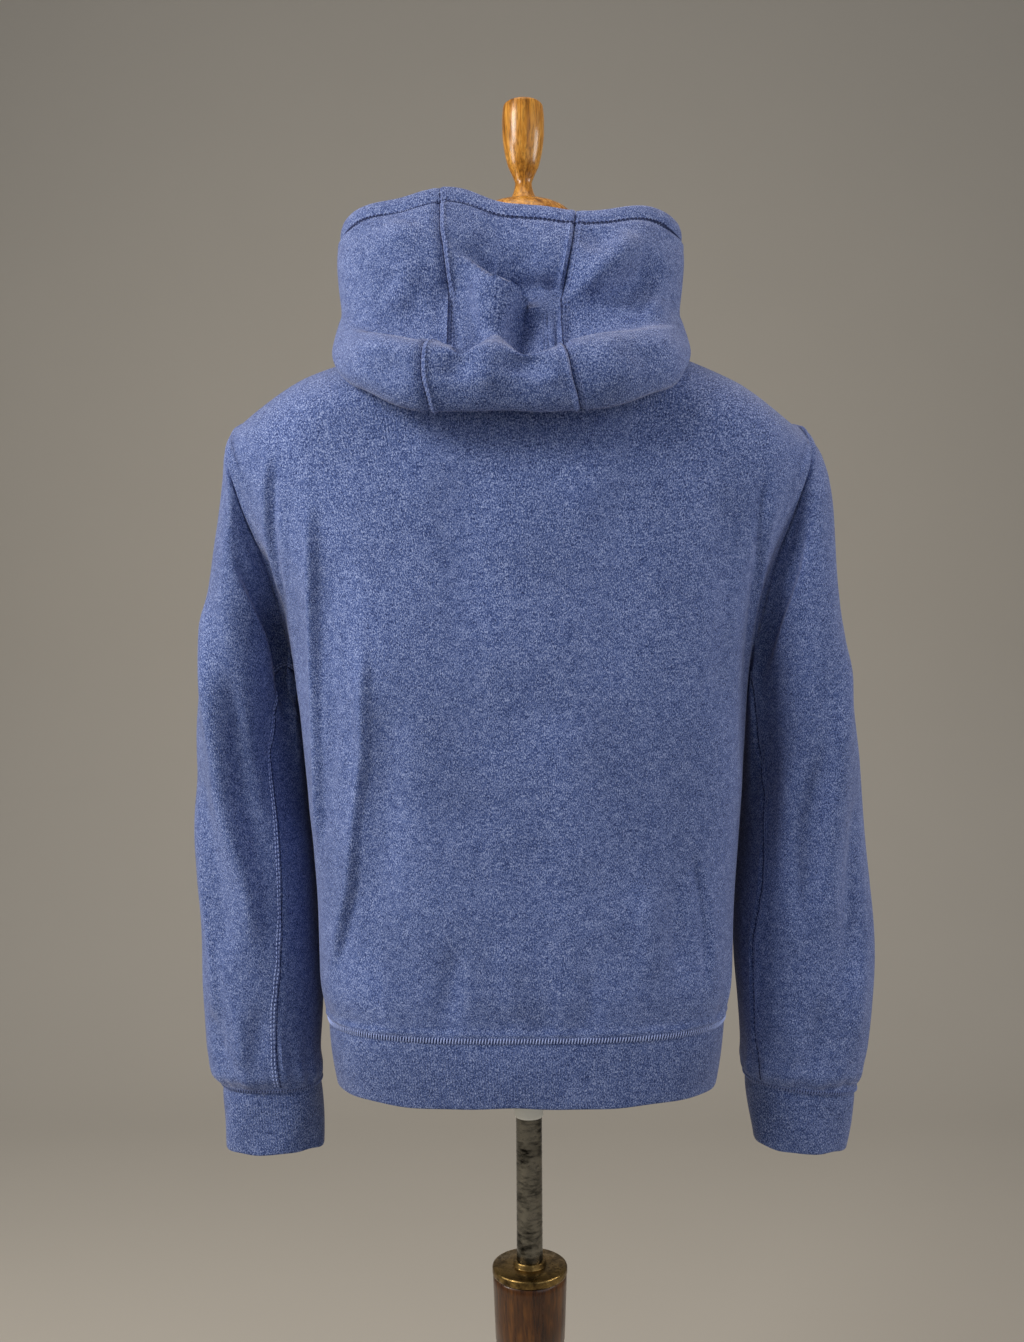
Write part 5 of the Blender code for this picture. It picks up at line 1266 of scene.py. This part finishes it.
def add_stitches(name, rows, look_name, body="form"):
    """One object of all these rows: (path, normals, offset, crossing, length, pitch, width)."""
    vertices = []
    faces = []
    for path, normals, offset, crossing, size, pitch, width in rows:
        points, tangent, normal = resampled(path, normals, pitch)
        side = unit(np.cross(normal, tangent))
        points = points + side * offset
        jitter = np.sin(np.arange(len(points)) * 2.4)[:, None]
        along = unit(side + tangent * (0.18 + 0.06 * jitter)) if crossing else unit(tangent + side * 0.06 * jitter)
        more, more_faces = stitch_shapes(points, along, normal, size / 2, width / 2, width * 0.7)
        faces += [tuple(len(vertices) + k for k in face) for face in more_faces]
        vertices += more
    made = add_object(name, vertices, faces, look(look_name), body)
    return made


def running(line, offset=0.0):
    """A row of running stitch along a line of the cloth."""
    s = sizes()
    return (*line, offset, False, s.stitch, s.stitch + s.stitch_gap, s.thread)


def chain(line):
    """A dark row of thread sunk in a seam's ditch: painted shade, which draws the ditch's shadow as a line."""
    return (*line, 0.0, False, SHADE_LINE_STITCH, SHADE_LINE_PITCH, SHADE_LINE_WIDTH)


def comb(line, size):
    """The short stitches of a cover seam, which lie across its line."""
    return (*line, 0.0, True, size, COMB_PITCH, sizes().thread)


def all_round(row):
    """A row of a tube, closed."""
    return np.concatenate([row, row[:1]])


def where_row(grid, normals, rest, wanted):
    """Line over a grid at a wanted distance from its last row, with its normals."""
    points, facing = [], []
    for column in range(grid.shape[1]):
        row = int(np.argmin(np.abs(rest[:, column] - wanted)))
        low, high = (row, row - 1) if rest[row, column] < wanted else (row + 1, row)
        part = (wanted - rest[low, column]) / max(1e-9, rest[high, column] - rest[low, column])
        points.append(grid[low, column] * (1 - part) + grid[high, column] * part)
        facing.append(normals[row, column])
    return np.array(points), np.array(facing)


# ---- zip, stand and form -------------------------------------------------------------------------

TAPE_THICK, TAPE_REACH, BEHIND, CHAIN_THICK = 0.0008, 0.0150, 0.0003, 0.0022
SLIDER_Z, SLIDER_HALF_X, SLIDER_HALF_Z = 1.366, 0.0045, 0.0065
TAPE_OVER = 0.009          # how far the tapes go on over the slider's middle
SQUARE = ((-1, -1), (1, -1), (1, 1), (-1, 1))
# A tooth from its clamp to its nose: millimetres across, and its shares of full depth and height.
TOOTH = ((2.5, 0.70, 1.0), (1.2, 1.0, 1.0), (-0.2, 1.0, 1.0), (-0.9, 0.75, 0.8), (-1.25, 0.30, 0.5))
# An arch that the pull tab's pin hangs in, from the slider's top to its foot: height and depth.
ARCH = ((0.0052, -0.0018), (0.0040, -0.0044), (0.0012, -0.0056), (-0.0020, -0.0056), (-0.0040, -0.0044),
        (-0.0050, -0.0018))
POLE_RADIUS, POLE_GAP = 0.0121, 0.0003


def zip_lines(side):
    """Inner face of one front along the zip: at its edge and a tape's width further in."""
    columns = slice(ZIP_L, ZIP_L - 14, -1) if side > 0 else slice(0, 14)
    inner, run = [], []
    for (grid, normals), rows, wall in ((hem_grid(), slice(-1), sizes().rib), (body_grid(), slice(-2), sizes().fleece)):
        outer = grid[rows, columns]
        inner += list(outer - normals[rows, columns] * wall)
        run += list(run_across(outer))
    return [np.array([read_line(reach, r, line) for r, line in zip(run, inner)]) for reach in (0.0, 0.007, TAPE_REACH)]


def tube_faces(start, rings, around):
    """Faces of a closed tube of rings of vertices, which begin at this one."""
    end = start + (rings - 1) * around
    faces = [(low + k, low + (k + 1) % around, low + around + (k + 1) % around, low + around + k)
             for low in range(start, end, around) for k in range(around)]
    return faces + [tuple(range(start, start + around)), tuple(reversed(range(end, end + around)))]


def turned(name, profile, segments, look_name, body, nodes, hollow=False, smooth_angle=40.0):
    """A turned piece from (radius, height) up its outer side, closed by end discs, or a loop."""
    vertices, faces = [], []
    angles = np.linspace(0, 2 * math.pi, segments, endpoint=False)
    for radius, height in profile:
        vertices += [(radius * math.cos(a), radius * math.sin(a), height) for a in angles]
    rings = len(profile)
    for ring in range(rings if hollow else rings - 1):
        low, high = ring * segments, (ring + 1) % rings * segments
        faces += [(low + k, low + (k + 1) % segments, high + (k + 1) % segments, high + k) for k in range(segments)]
    if not hollow:
        faces.append(tuple(reversed(range(segments))))
        faces.append(tuple(range((rings - 1) * segments, rings * segments)))
    made = add_object(name, vertices, faces, look(look_name), body, smooth_angle)
    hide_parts(*nodes)
    return made


def curve_profile(points, steps=6):
    """The profile with its outline drawn as a smooth curve through its points."""
    return list(zip(*(finely([point[k] for point in points], steps) for k in (0, 1))))


def tab_outline(width_top, width_low, top, low, corner, steps=6):
    """Rounded outline of a pull tab, as (across, height), once round."""
    points = []
    for x, z, start in ((width_low, low, 270), (width_top, top, 0), (-width_top, top, 90), (-width_low, low, 180)):
        cx, cz = x - math.copysign(corner, x), z + (corner if z == low else -corner)
        for k in range(steps + 1):
            a = math.radians(start + 90 * k / steps)
            points.append((cx + corner * math.cos(a), cz + corner * math.sin(a)))
    return points


# ---- operators -----------------------------------------------------------------------------------

class HoodieOperator:
    bl_options = {"REGISTER"}

    def execute(self, context):
        self.build()
        return {"FINISHED"}


class HOODIE_OT_body(HoodieOperator, Operator):
    """Build the back, the fronts and the hem band"""
    bl_idname = "hoodie.body"
    bl_label = "Body and hem band"

    def build(self):
        body, normals = body_grid()
        outer, inner = body.copy(), body - normals * sizes().fleece
        draw_back(outer, inner, 0, -1)
        add_panels(outer, inner, ("front_right", "back_panel", "front_left"), (0, SIDE_R, SIDE_L, ZIP_L))
        hem, normals = hem_grid()
        outer, inner = hem.copy(), hem - normals * sizes().rib
        draw_back(outer, inner, -1)
        add_cloth("hem_band", outer, inner, look("folded_melange_knit"), "folded knit", round_low=True)


class HOODIE_OT_sleeves(HoodieOperator, Operator):
    """Build both sleeves and their cuffs"""
    bl_idname = "hoodie.sleeves"
    bl_label = "Sleeves and cuffs"

    def build(self):
        for side, name in ((1, "left"), (-1, "right")):
            grid, normals, _ = sleeve_grid(side)
            outer, inner = grid.copy(), grid - normals * sizes().fleece
            draw_back(outer, inner, 0, -1)
            add_cloth("sleeve_" + name, outer, inner, look("brushed_melange_fleece"), "fleece", closed=True)
            cuff, normals = cuff_grid(side)
            # The cuff's seam is drawn back along the sleeve, so that both edges stay in line.
            cuff[0] += unit(grid[-1] - grid[-2]) * seam_gap() / 2
            add_cloth("cuff_" + name, cuff, cuff - normals * sizes().rib, look("folded_melange_knit"), "folded knit",
                      closed=True, round_high=True)


class HOODIE_OT_hood(HoodieOperator, Operator):
    """Build the three panels of the hood with its turned edge"""
    bl_idname = "hoodie.hood"
    bl_label = "Hood"

    def build(self):
        hood, normals, seams = hood_grid()
        _, rest = edge_run(hood)
        # The edge is turned in and sewn down, so the wall is double there.
        wall = sizes().fleece * (2 - fade(rest, RIM_FOLD - 0.002, RIM_FOLD + 0.001))
        outer, inner = hood.copy(), hood - normals * wall[..., None]
        draw_back(outer, inner, 0)
        add_panels(outer, inner, ("hood_right", "hood_centre", "hood_left"), (0, *seams, hood.shape[1] - 1),
                   round_high=True)


class HOODIE_OT_sewing(HoodieOperator, Operator):
    bl_idname = "hoodie.sewing"
    bl_label = "Sewing"

    def build(self):
        self.sew_body()
        for side, name in ((1, "left"), (-1, "right")):
            self.sew_sleeve(side, name)
        self.sew_hood()
        self.declare_cloth()

    def sew_body(self):
        body, normals = body_grid()
        hem_line = (body[0] + hem_grid()[0][-1]) / 2 + normals[0] * SUNK, normals[0]
        add_stitches("hem_seam_stitches", [comb(hem_line, HEM_COMB)], PALE)
        rows = []
        for column, way in ((SIDE_L, 1), (SIDE_R, -1)):
            places = np.full(len(body) - 3, float(column))
            rows += [running(beside(body[:-3], normals[:-3], places, way * gap)) for gap in SEAM_ROWS]
        add_stitches("side_seam_stitches", rows, MIDDLING)
        # Painted shade: a dark thread row in each side seam and along the hem seam, for the seams' shadowed ditches.
        shade_lines = [chain((body[:-3, column], normals[:-3, column])) for column in (SIDE_L, SIDE_R)]
        add_stitches("side_seam_chains", shade_lines + [chain((body[0] - normals[0] * SUNK, normals[0]))], DEEP)

    def sew_sleeve(self, side, name):
        body, normals = body_grid()
        ring = armhole_columns(side)
        add_stitches(f"armhole_stitches_{name}", [running((body[row][ring], normals[row][ring])) for row in (-2, -4)],
                     MIDDLING)
        sleeve, normals, _ = sleeve_grid(side)
        seam = [rows[2:-2] for rows in (sleeve, normals, sleeve_seam_columns(sleeve, side))]
        # Painted light: the left sleeve stands in the light, so its seam is sewn in the pale thread; the right sleeve
        # stands in shade, so its seam is sewn in the middle thread.
        add_stitches(f"sleeve_seam_stitches_{name}", [running(beside(*seam, -gap, True)) for gap in SEAM_ROWS],
                     PALE if side > 0 else MIDDLING)
        # Painted shade: dark thread rows in the sleeve's own seam and along its armhole and cuff seams.
        line = on_rows(seam[0], seam[2]), unit(on_rows(seam[1], seam[2]))
        ends = [(all_round(sleeve[row]) - all_round(normals[row]) * SUNK, all_round(normals[row])) for row in (0, -1)]
        add_stitches(f"sleeve_chains_{name}", [chain(line), *map(chain, ends)], DEEP)
        middle = (sleeve[-1] + cuff_grid(side)[0][0]) / 2 + normals[-1] * CUFF_LIFT
        add_stitches(f"cuff_stitches_{name}", [comb((all_round(middle), all_round(normals[-1])), CUFF_COMB)], MIDDLING)

    def sew_hood(self):
        hood, normals, seams = hood_grid()
        rim = where_row(hood, normals, edge_run(hood)[1], RIM_FOLD)
        add_stitches("rim_stitches", [running(rim, -RIM_ROW), running(rim, RIM_ROW),
                                      (*rim, 0.0, True, RIM_COMB, RIM_PITCH, sizes().thread * 0.8)], DEEP)
        hood, normals = hood[4:-2], normals[4:-2]
        add_stitches("hood_seam_stitches",
                     [running(beside(hood, normals, np.full(len(hood), float(column)), -gap))
                      for column in seams for gap in HOOD_SEAM_ROWS], MIDDLING)
        # Painted shade: a dark thread row in each hood seam.
        add_stitches("hood_seam_chains", [chain((hood[:, column], normals[:, column])) for column in seams], DEEP)

    def declare_cloth(self):
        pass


class HOODIE_OT_zip(HoodieOperator, Operator):
    """Build the zip: tapes, teeth, slider and pull tab"""
    bl_idname = "hoodie.zip"
    bl_label = "Zip"

    def build(self):
        brass = look("nickel_plated_brass")
        edges = {}
        for side, name in ((1, "left"), (-1, "right")):
            lines = zip_lines(side)
            top = int(np.argmax(lines[0][:, 2] > SLIDER_Z + TAPE_OVER)) or len(lines[0])
            near, middle, far = (line[:top] for line in lines)
            edge = near.copy()
            edge[:, 0] = side * (CHAIN_HALF + 0.0004)
            outer = np.stack([edge, (edge + near) / 2, near, middle, far], axis=1) + (0.0, BEHIND, 0.0)
            inner = outer + (0.0, TAPE_THICK, 0.0)
            if side > 0:
                outer, inner = outer[:, ::-1], inner[:, ::-1]
            add_cloth("zip_tape_" + name, outer, inner, look("woven_polyester_tape"), "zip tape")
            edges[side] = near
        self.teeth(edges[1], brass)
        self.slider(brass)

    def teeth(self, near, brass):
        """Two rows of teeth that mesh, each a clamp on its tape's edge with a rounded nose."""
        vertices, faces = [], []
        pitch = sizes().tooth
        low, high = near[0, 2] + 0.004, SLIDER_Z + 0.008
        half_z, half_y = pitch * 0.20, CHAIN_THICK / 2
        for k in range(int((high - low) / pitch)):
            for side in (1, -1):
                z = low + (k + (0.0 if side > 0 else 0.5)) * pitch
                y = float(np.interp(z, near[:, 2], near[:, 1])) + BEHIND + TAPE_THICK / 2
                faces += tube_faces(len(vertices), len(TOOTH), 4)
                for x, deep, tall in TOOTH:
                    for dy, dz in SQUARE:
                        vertices.append((side * x * 0.001, y + dy * half_y * deep, z + dz * half_z * tall))
        made = add_object("zip_teeth", vertices, faces, brass, "form", 35.0)
        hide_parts("zip_chain")

    def slider(self, brass):
        """The slider's plate, two arches over it and the pin between them."""
        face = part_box("zip_slider")[1].y
        pin_z, pin_y = SLIDER_Z - 0.0010, face - 0.0046
        vertices, faces = [], tube_faces(0, 4, 40)
        for depth, scale in ((0.0, 0.93), (-0.0004, 1.0), (-0.0016, 1.0), (-0.0022, 0.90)):
            for k in range(40):
                a = 2 * math.pi * k / 40
                x = SLIDER_HALF_X * power(np.cos(a), 3.2) * (1 + 0.10 * math.sin(a)) / 1.10
                z = SLIDER_HALF_Z * power(np.sin(a), 3.6)
                vertices.append((float(x) * scale, face + depth, SLIDER_Z + float(z) * scale))
        for side in (-1, 1):
            faces += tube_faces(len(vertices), len(ARCH), 4)
            for z, y in ARCH:
                for dx, dy in SQUARE:
                    vertices.append((side * 0.0024 + dx * 0.0005, face + y + dy * 0.0004, SLIDER_Z + z * 0.6))
        faces += tube_faces(len(vertices), 2, 16)
        for x in (-0.0027, 0.0027):
            for k in range(16):
                a = 2 * math.pi * k / 16
                vertices.append((x, pin_y + 0.0008 * math.cos(a), pin_z + 0.0008 * math.sin(a)))
        made = add_object("zip_slider_body", vertices, faces, brass, "form", 35.0)
        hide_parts("zip_slider")
        self.pull(pin_y, pin_z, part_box("zip_pull")[0].z, brass)

    def pull(self, pin_y, pin_z, low_z, brass):
        """A flat tab with a round eye on the bar and a slot near its foot."""
        plate = tab_outline(0.0020, 0.0034, pin_z + 0.0021, low_z, 0.0014)
        window = tab_outline(0.0011, 0.0018, low_z + 0.0150, low_z + 0.0040, 0.0007)
        eye = [(0.0011 * math.cos(a), pin_z + 0.0011 * math.sin(a))
               for a in np.linspace(0, 2 * math.pi, 24, endpoint=False)]
        shape = bmesh.new()
        edges = []
        for ring in (plate, window, eye):
            points = [shape.verts.new((x, pin_y + 0.0007, z)) for x, z in ring]
            edges += [shape.edges.new((points[k], points[(k + 1) % len(points)])) for k in range(len(points))]
        bmesh.ops.triangle_fill(shape, edges=edges, use_beauty=True)
        mesh = bpy.data.meshes.new("zip_pull_tab")
        shape.to_mesh(mesh)
        shape.free()
        mesh.materials.append(brass)
        made = linked("zip_pull_tab", mesh)
        solid = made.modifiers.new("Thickness", "SOLIDIFY")
        solid.thickness = 0.0014
        solid.offset = 0.0
        edge = made.modifiers.new("Edge", "BEVEL")
        edge.width = 0.00025
        edge.segments = 2
        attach(made, "pull_tab")
        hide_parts("zip_pull")


class HOODIE_OT_form(HoodieOperator, Operator):
    """Cover the dress form and turn its neck cap and knob"""
    bl_idname = "hoodie.form"
    bl_label = "Dress form"

    def build(self):
        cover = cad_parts["torso_form"]
        cover.data.materials.clear()
        cover.data.materials.append(look("cotton_jersey_cover"))
        weld = cover.modifiers.new("Weld", "WELD")
        weld.merge_threshold = 0.00005
        finer = cover.modifiers.new("Subdivision", "SUBSURF")
        finer.levels = finer.render_levels = 2
        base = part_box("neck_cap")[0].z
        turned("neck_cap_turned", curve_profile([(0.0500, base), (0.0530, base + 0.003), (0.0530, base + 0.020),
                                                 (0.0440, base + 0.034), (0.0230, base + 0.0440)]), 96,
               "amber_varnished_beech", "form", ["neck_cap"])
        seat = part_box("finial")[0].z
        turned("finial_turned", [(0.0150, seat), (0.0152, seat + 0.0008)] +
               curve_profile([(0.0140, 1.5918), (0.0127, 1.5945), (0.0098, 1.600), (0.0079, 1.6090), (0.0098, 1.6155),
                              (0.0148, 1.6270), (0.0182, 1.6420), (0.0197, 1.6570), (0.0198, 1.6680), (0.0191, 1.6790),
                              (0.0186, 1.6820), (0.0150, 1.6846), (0.0070, 1.6858), (0.0010, 1.6860)]), 96,
               "amber_varnished_beech", "form", ["finial"])


class HOODIE_OT_stand(HoodieOperator, Operator):
    """Turn the wooden foot and column, and fit the pole, cap plate and socket"""
    bl_idname = "hoodie.stand"
    bl_label = "Pole and stand"

    def build(self):
        bore = POLE_RADIUS + POLE_GAP
        wood = "brown_varnished_beech"
        turned("base_turned", [(0.186, 0.0)] + curve_profile([(0.189, 0.001), (0.192, 0.006), (0.192, 0.026),
                                                              (0.184, 0.036), (0.150, 0.042), (0.060, 0.0455)]),
               128, wood, "stand", ["base_plate"])
        foot = 0.0455 + POLE_GAP
        outline = curve_profile([(0.046, foot), (0.048, foot + 0.012), (0.040, foot + 0.030), (0.029, foot + 0.050),
                                 (0.026, 0.140), (0.029, 0.240), (0.0305, 0.380), (0.0310, 0.500), (0.0318, 0.524)])
        outline += [(0.0309, 0.5262), (0.0309, 0.5278), (0.0322, 0.5300), (0.0331, 0.5500), (0.0338, 0.5700),
                    (0.0343, 0.5820), (0.0343, 0.5872), (0.0335, 0.5886), (bore, 0.5886), (bore, 0.075)]
        turned("column_turned", outline, 96, wood, "stand", ["column"])
        top = 0.597
        turned("column_cap_plate", [(bore, 0.5889), (0.0336, 0.5889), (0.0346, 0.5896), (0.0350, 0.5910),
                                    (0.0350, 0.5950), (0.0346, 0.5962), (0.0336, top), (0.0190, top + 0.0002),
                                    (0.0156, top + 0.0004), (0.0152, top + 0.0012), (0.0150, top + 0.0040),
                                    (0.0144, top + 0.0050), (0.0138, top + 0.0052), (bore, top + 0.0052)],
               96, "dulled_steel_plate", "stand", ["column_cap"], hollow=True)
        turned("pole_tube", [(POLE_RADIUS - 0.001, 0.200), (POLE_RADIUS, 0.201)] +
               [(POLE_RADIUS, z) for z in np.linspace(0.25, 0.75, 6)] +
               [(POLE_RADIUS, 0.789), (POLE_RADIUS - 0.001, 0.790)], 72, "scratched_chrome_plate", "lift", ["pole"])
        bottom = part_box("pole_socket")[1].z
        turned("pole_socket_moulded", [(bore, 0.7354), (0.0127, 0.7350), (0.0132, 0.7354)] +
               curve_profile([(0.0136, 0.7370), (0.0139, 0.7450), (0.0140, 0.7550), (0.0200, 0.7700), (0.0420, 0.7780),
                              (0.0440, 0.7800), (0.0440, bottom)], 4) + [(bore, bottom)], 72,
               "moulded_white_polypropylene", "form", ["pole_socket"], hollow=True)


# Lamps: name, place, size, power and colour. The camera stands as the photo's does.
LAMPS = (
    ("key", (1.75, 1.30, 2.45), 0.9, 46.0, "#FFF9F0"),
    ("fill", (-1.9, 2.1, 1.8), 2.2, 11.0, "#F3F5FF"),
    ("top", (0.1, 0.25, 2.55), 0.9, 6.0, "#FFE6C8"),
    ("left", (2.2, 0.65, 1.62), 0.9, 23.0, "#FFF9F0"),
    ("right", (-2.1, 0.45, 1.85), 0.9, 23.0, "#FFF6EA"),
)
LAMP_AIM = (0.0, 0.0, 1.30)
WORLD_COLOUR, WORLD_STRENGTH = "#E9EAEC", 0.27
CAMERA_PLACE, CAMERA_DEGREES, CAMERA_LENS = (0.0135, 1.150, 1.140), (90.54, 0.334, 180), 32.89
FLOOR_EDGE, WALL_TOP, HALF_SPAN = 6.0, 6.0, 9.0
BEND_START, BEND_RADIUS = -2.0, 1.4


class HOODIE_OT_stage(HoodieOperator, Operator):
    """Set the floor, the wall, the lights and the camera"""
    bl_idname = "hoodie.stage"
    bl_label = "Floor, lights and camera"

    def build(self):
        self.backdrop()
        scene = bpy.context.scene
        for name, place, size, power_, tint in LAMPS:
            lamp = bpy.data.lights.new(name, "AREA")
            lamp.size = size
            lamp.energy = power_
            lamp.color = linear(tint)
            made = linked(name, lamp)
            made.location = place
            point_at(made, np.array(LAMP_AIM) - np.array(place))
        scene.world = bpy.data.worlds.new("studio")
        scene.world.use_nodes = True
        background = scene.world.node_tree.nodes["Background"].inputs
        background["Color"].default_value = rgba(linear(WORLD_COLOUR))
        background["Strength"].default_value = WORLD_STRENGTH
        scene.view_settings.view_transform = "Standard"
        camera = bpy.data.cameras.new("camera")
        camera.lens = CAMERA_LENS
        scene.camera = linked("camera", camera)
        scene.camera.location = CAMERA_PLACE
        scene.camera.rotation_euler = [math.radians(d) for d in CAMERA_DEGREES]

    def backdrop(self):
        """One pale sheet: a flat floor that curves up into the wall."""
        line = [(BEND_START - BEND_RADIUS * math.sin(a), BEND_RADIUS - BEND_RADIUS * math.cos(a))
                for a in np.radians(np.linspace(0, 90, 25))]
        line = [(FLOOR_EDGE, 0.0), *line, (BEND_START - BEND_RADIUS, WALL_TOP)]
        mesh = bpy.data.meshes.new("backdrop")
        mesh.from_pydata([(x, y, z) for y, z in line for x in (-HALF_SPAN, HALF_SPAN)], [],
                         [(2 * k, 2 * k + 2, 2 * k + 3, 2 * k + 1) for k in range(len(line) - 1)])
        mesh.materials.append(look("matt_painted_board"))
        mesh.shade_smooth()
        linked("backdrop", mesh)


def point_at(made, way):
    """Turns a lamp so that it shines along a direction."""
    x, y, z = way
    made.rotation_euler = (math.atan2(math.hypot(x, y), -z), 0.0, math.atan2(-x, y))


class HOODIE_PT_panel(Panel):
    bl_label = "Zip-up hoodie"
    bl_idname = "HOODIE_PT_panel"
    bl_space_type = "VIEW_3D"
    bl_region_type = "UI"
    bl_category = "Hoodie"

    def draw(self, context):
        for operator in OPERATORS:
            self.layout.operator(operator.bl_idname)
        for group in (context.scene.hoodie_sizes, context.scene.hoodie_colours):
            box = self.layout.box()
            for name in group.__annotations__:
                box.prop(group, name)


OPERATORS = (HOODIE_OT_body, HOODIE_OT_sleeves, HOODIE_OT_hood, HOODIE_OT_zip, HOODIE_OT_sewing, HOODIE_OT_form,
             HOODIE_OT_stand, HOODIE_OT_stage)
CLASSES = (HoodieSizes, HoodieColours, *OPERATORS, HOODIE_PT_panel)


def register():
    for made in CLASSES:
        bpy.utils.register_class(made)
    bpy.types.Scene.hoodie_sizes = PointerProperty(type=HoodieSizes)
    bpy.types.Scene.hoodie_colours = PointerProperty(type=HoodieColours)


def unregister():
    del bpy.types.Scene.hoodie_colours
    del bpy.types.Scene.hoodie_sizes
    for made in reversed(CLASSES):
        bpy.utils.unregister_class(made)


def main():
    register()
    bpy.ops.hoodie.body()
    bpy.ops.hoodie.sleeves()
    bpy.ops.hoodie.hood()
    bpy.ops.hoodie.zip()
    bpy.ops.hoodie.sewing()
    bpy.ops.hoodie.form()
    bpy.ops.hoodie.stand()
    bpy.ops.hoodie.stage()


if __name__ == "__main__":
    main()
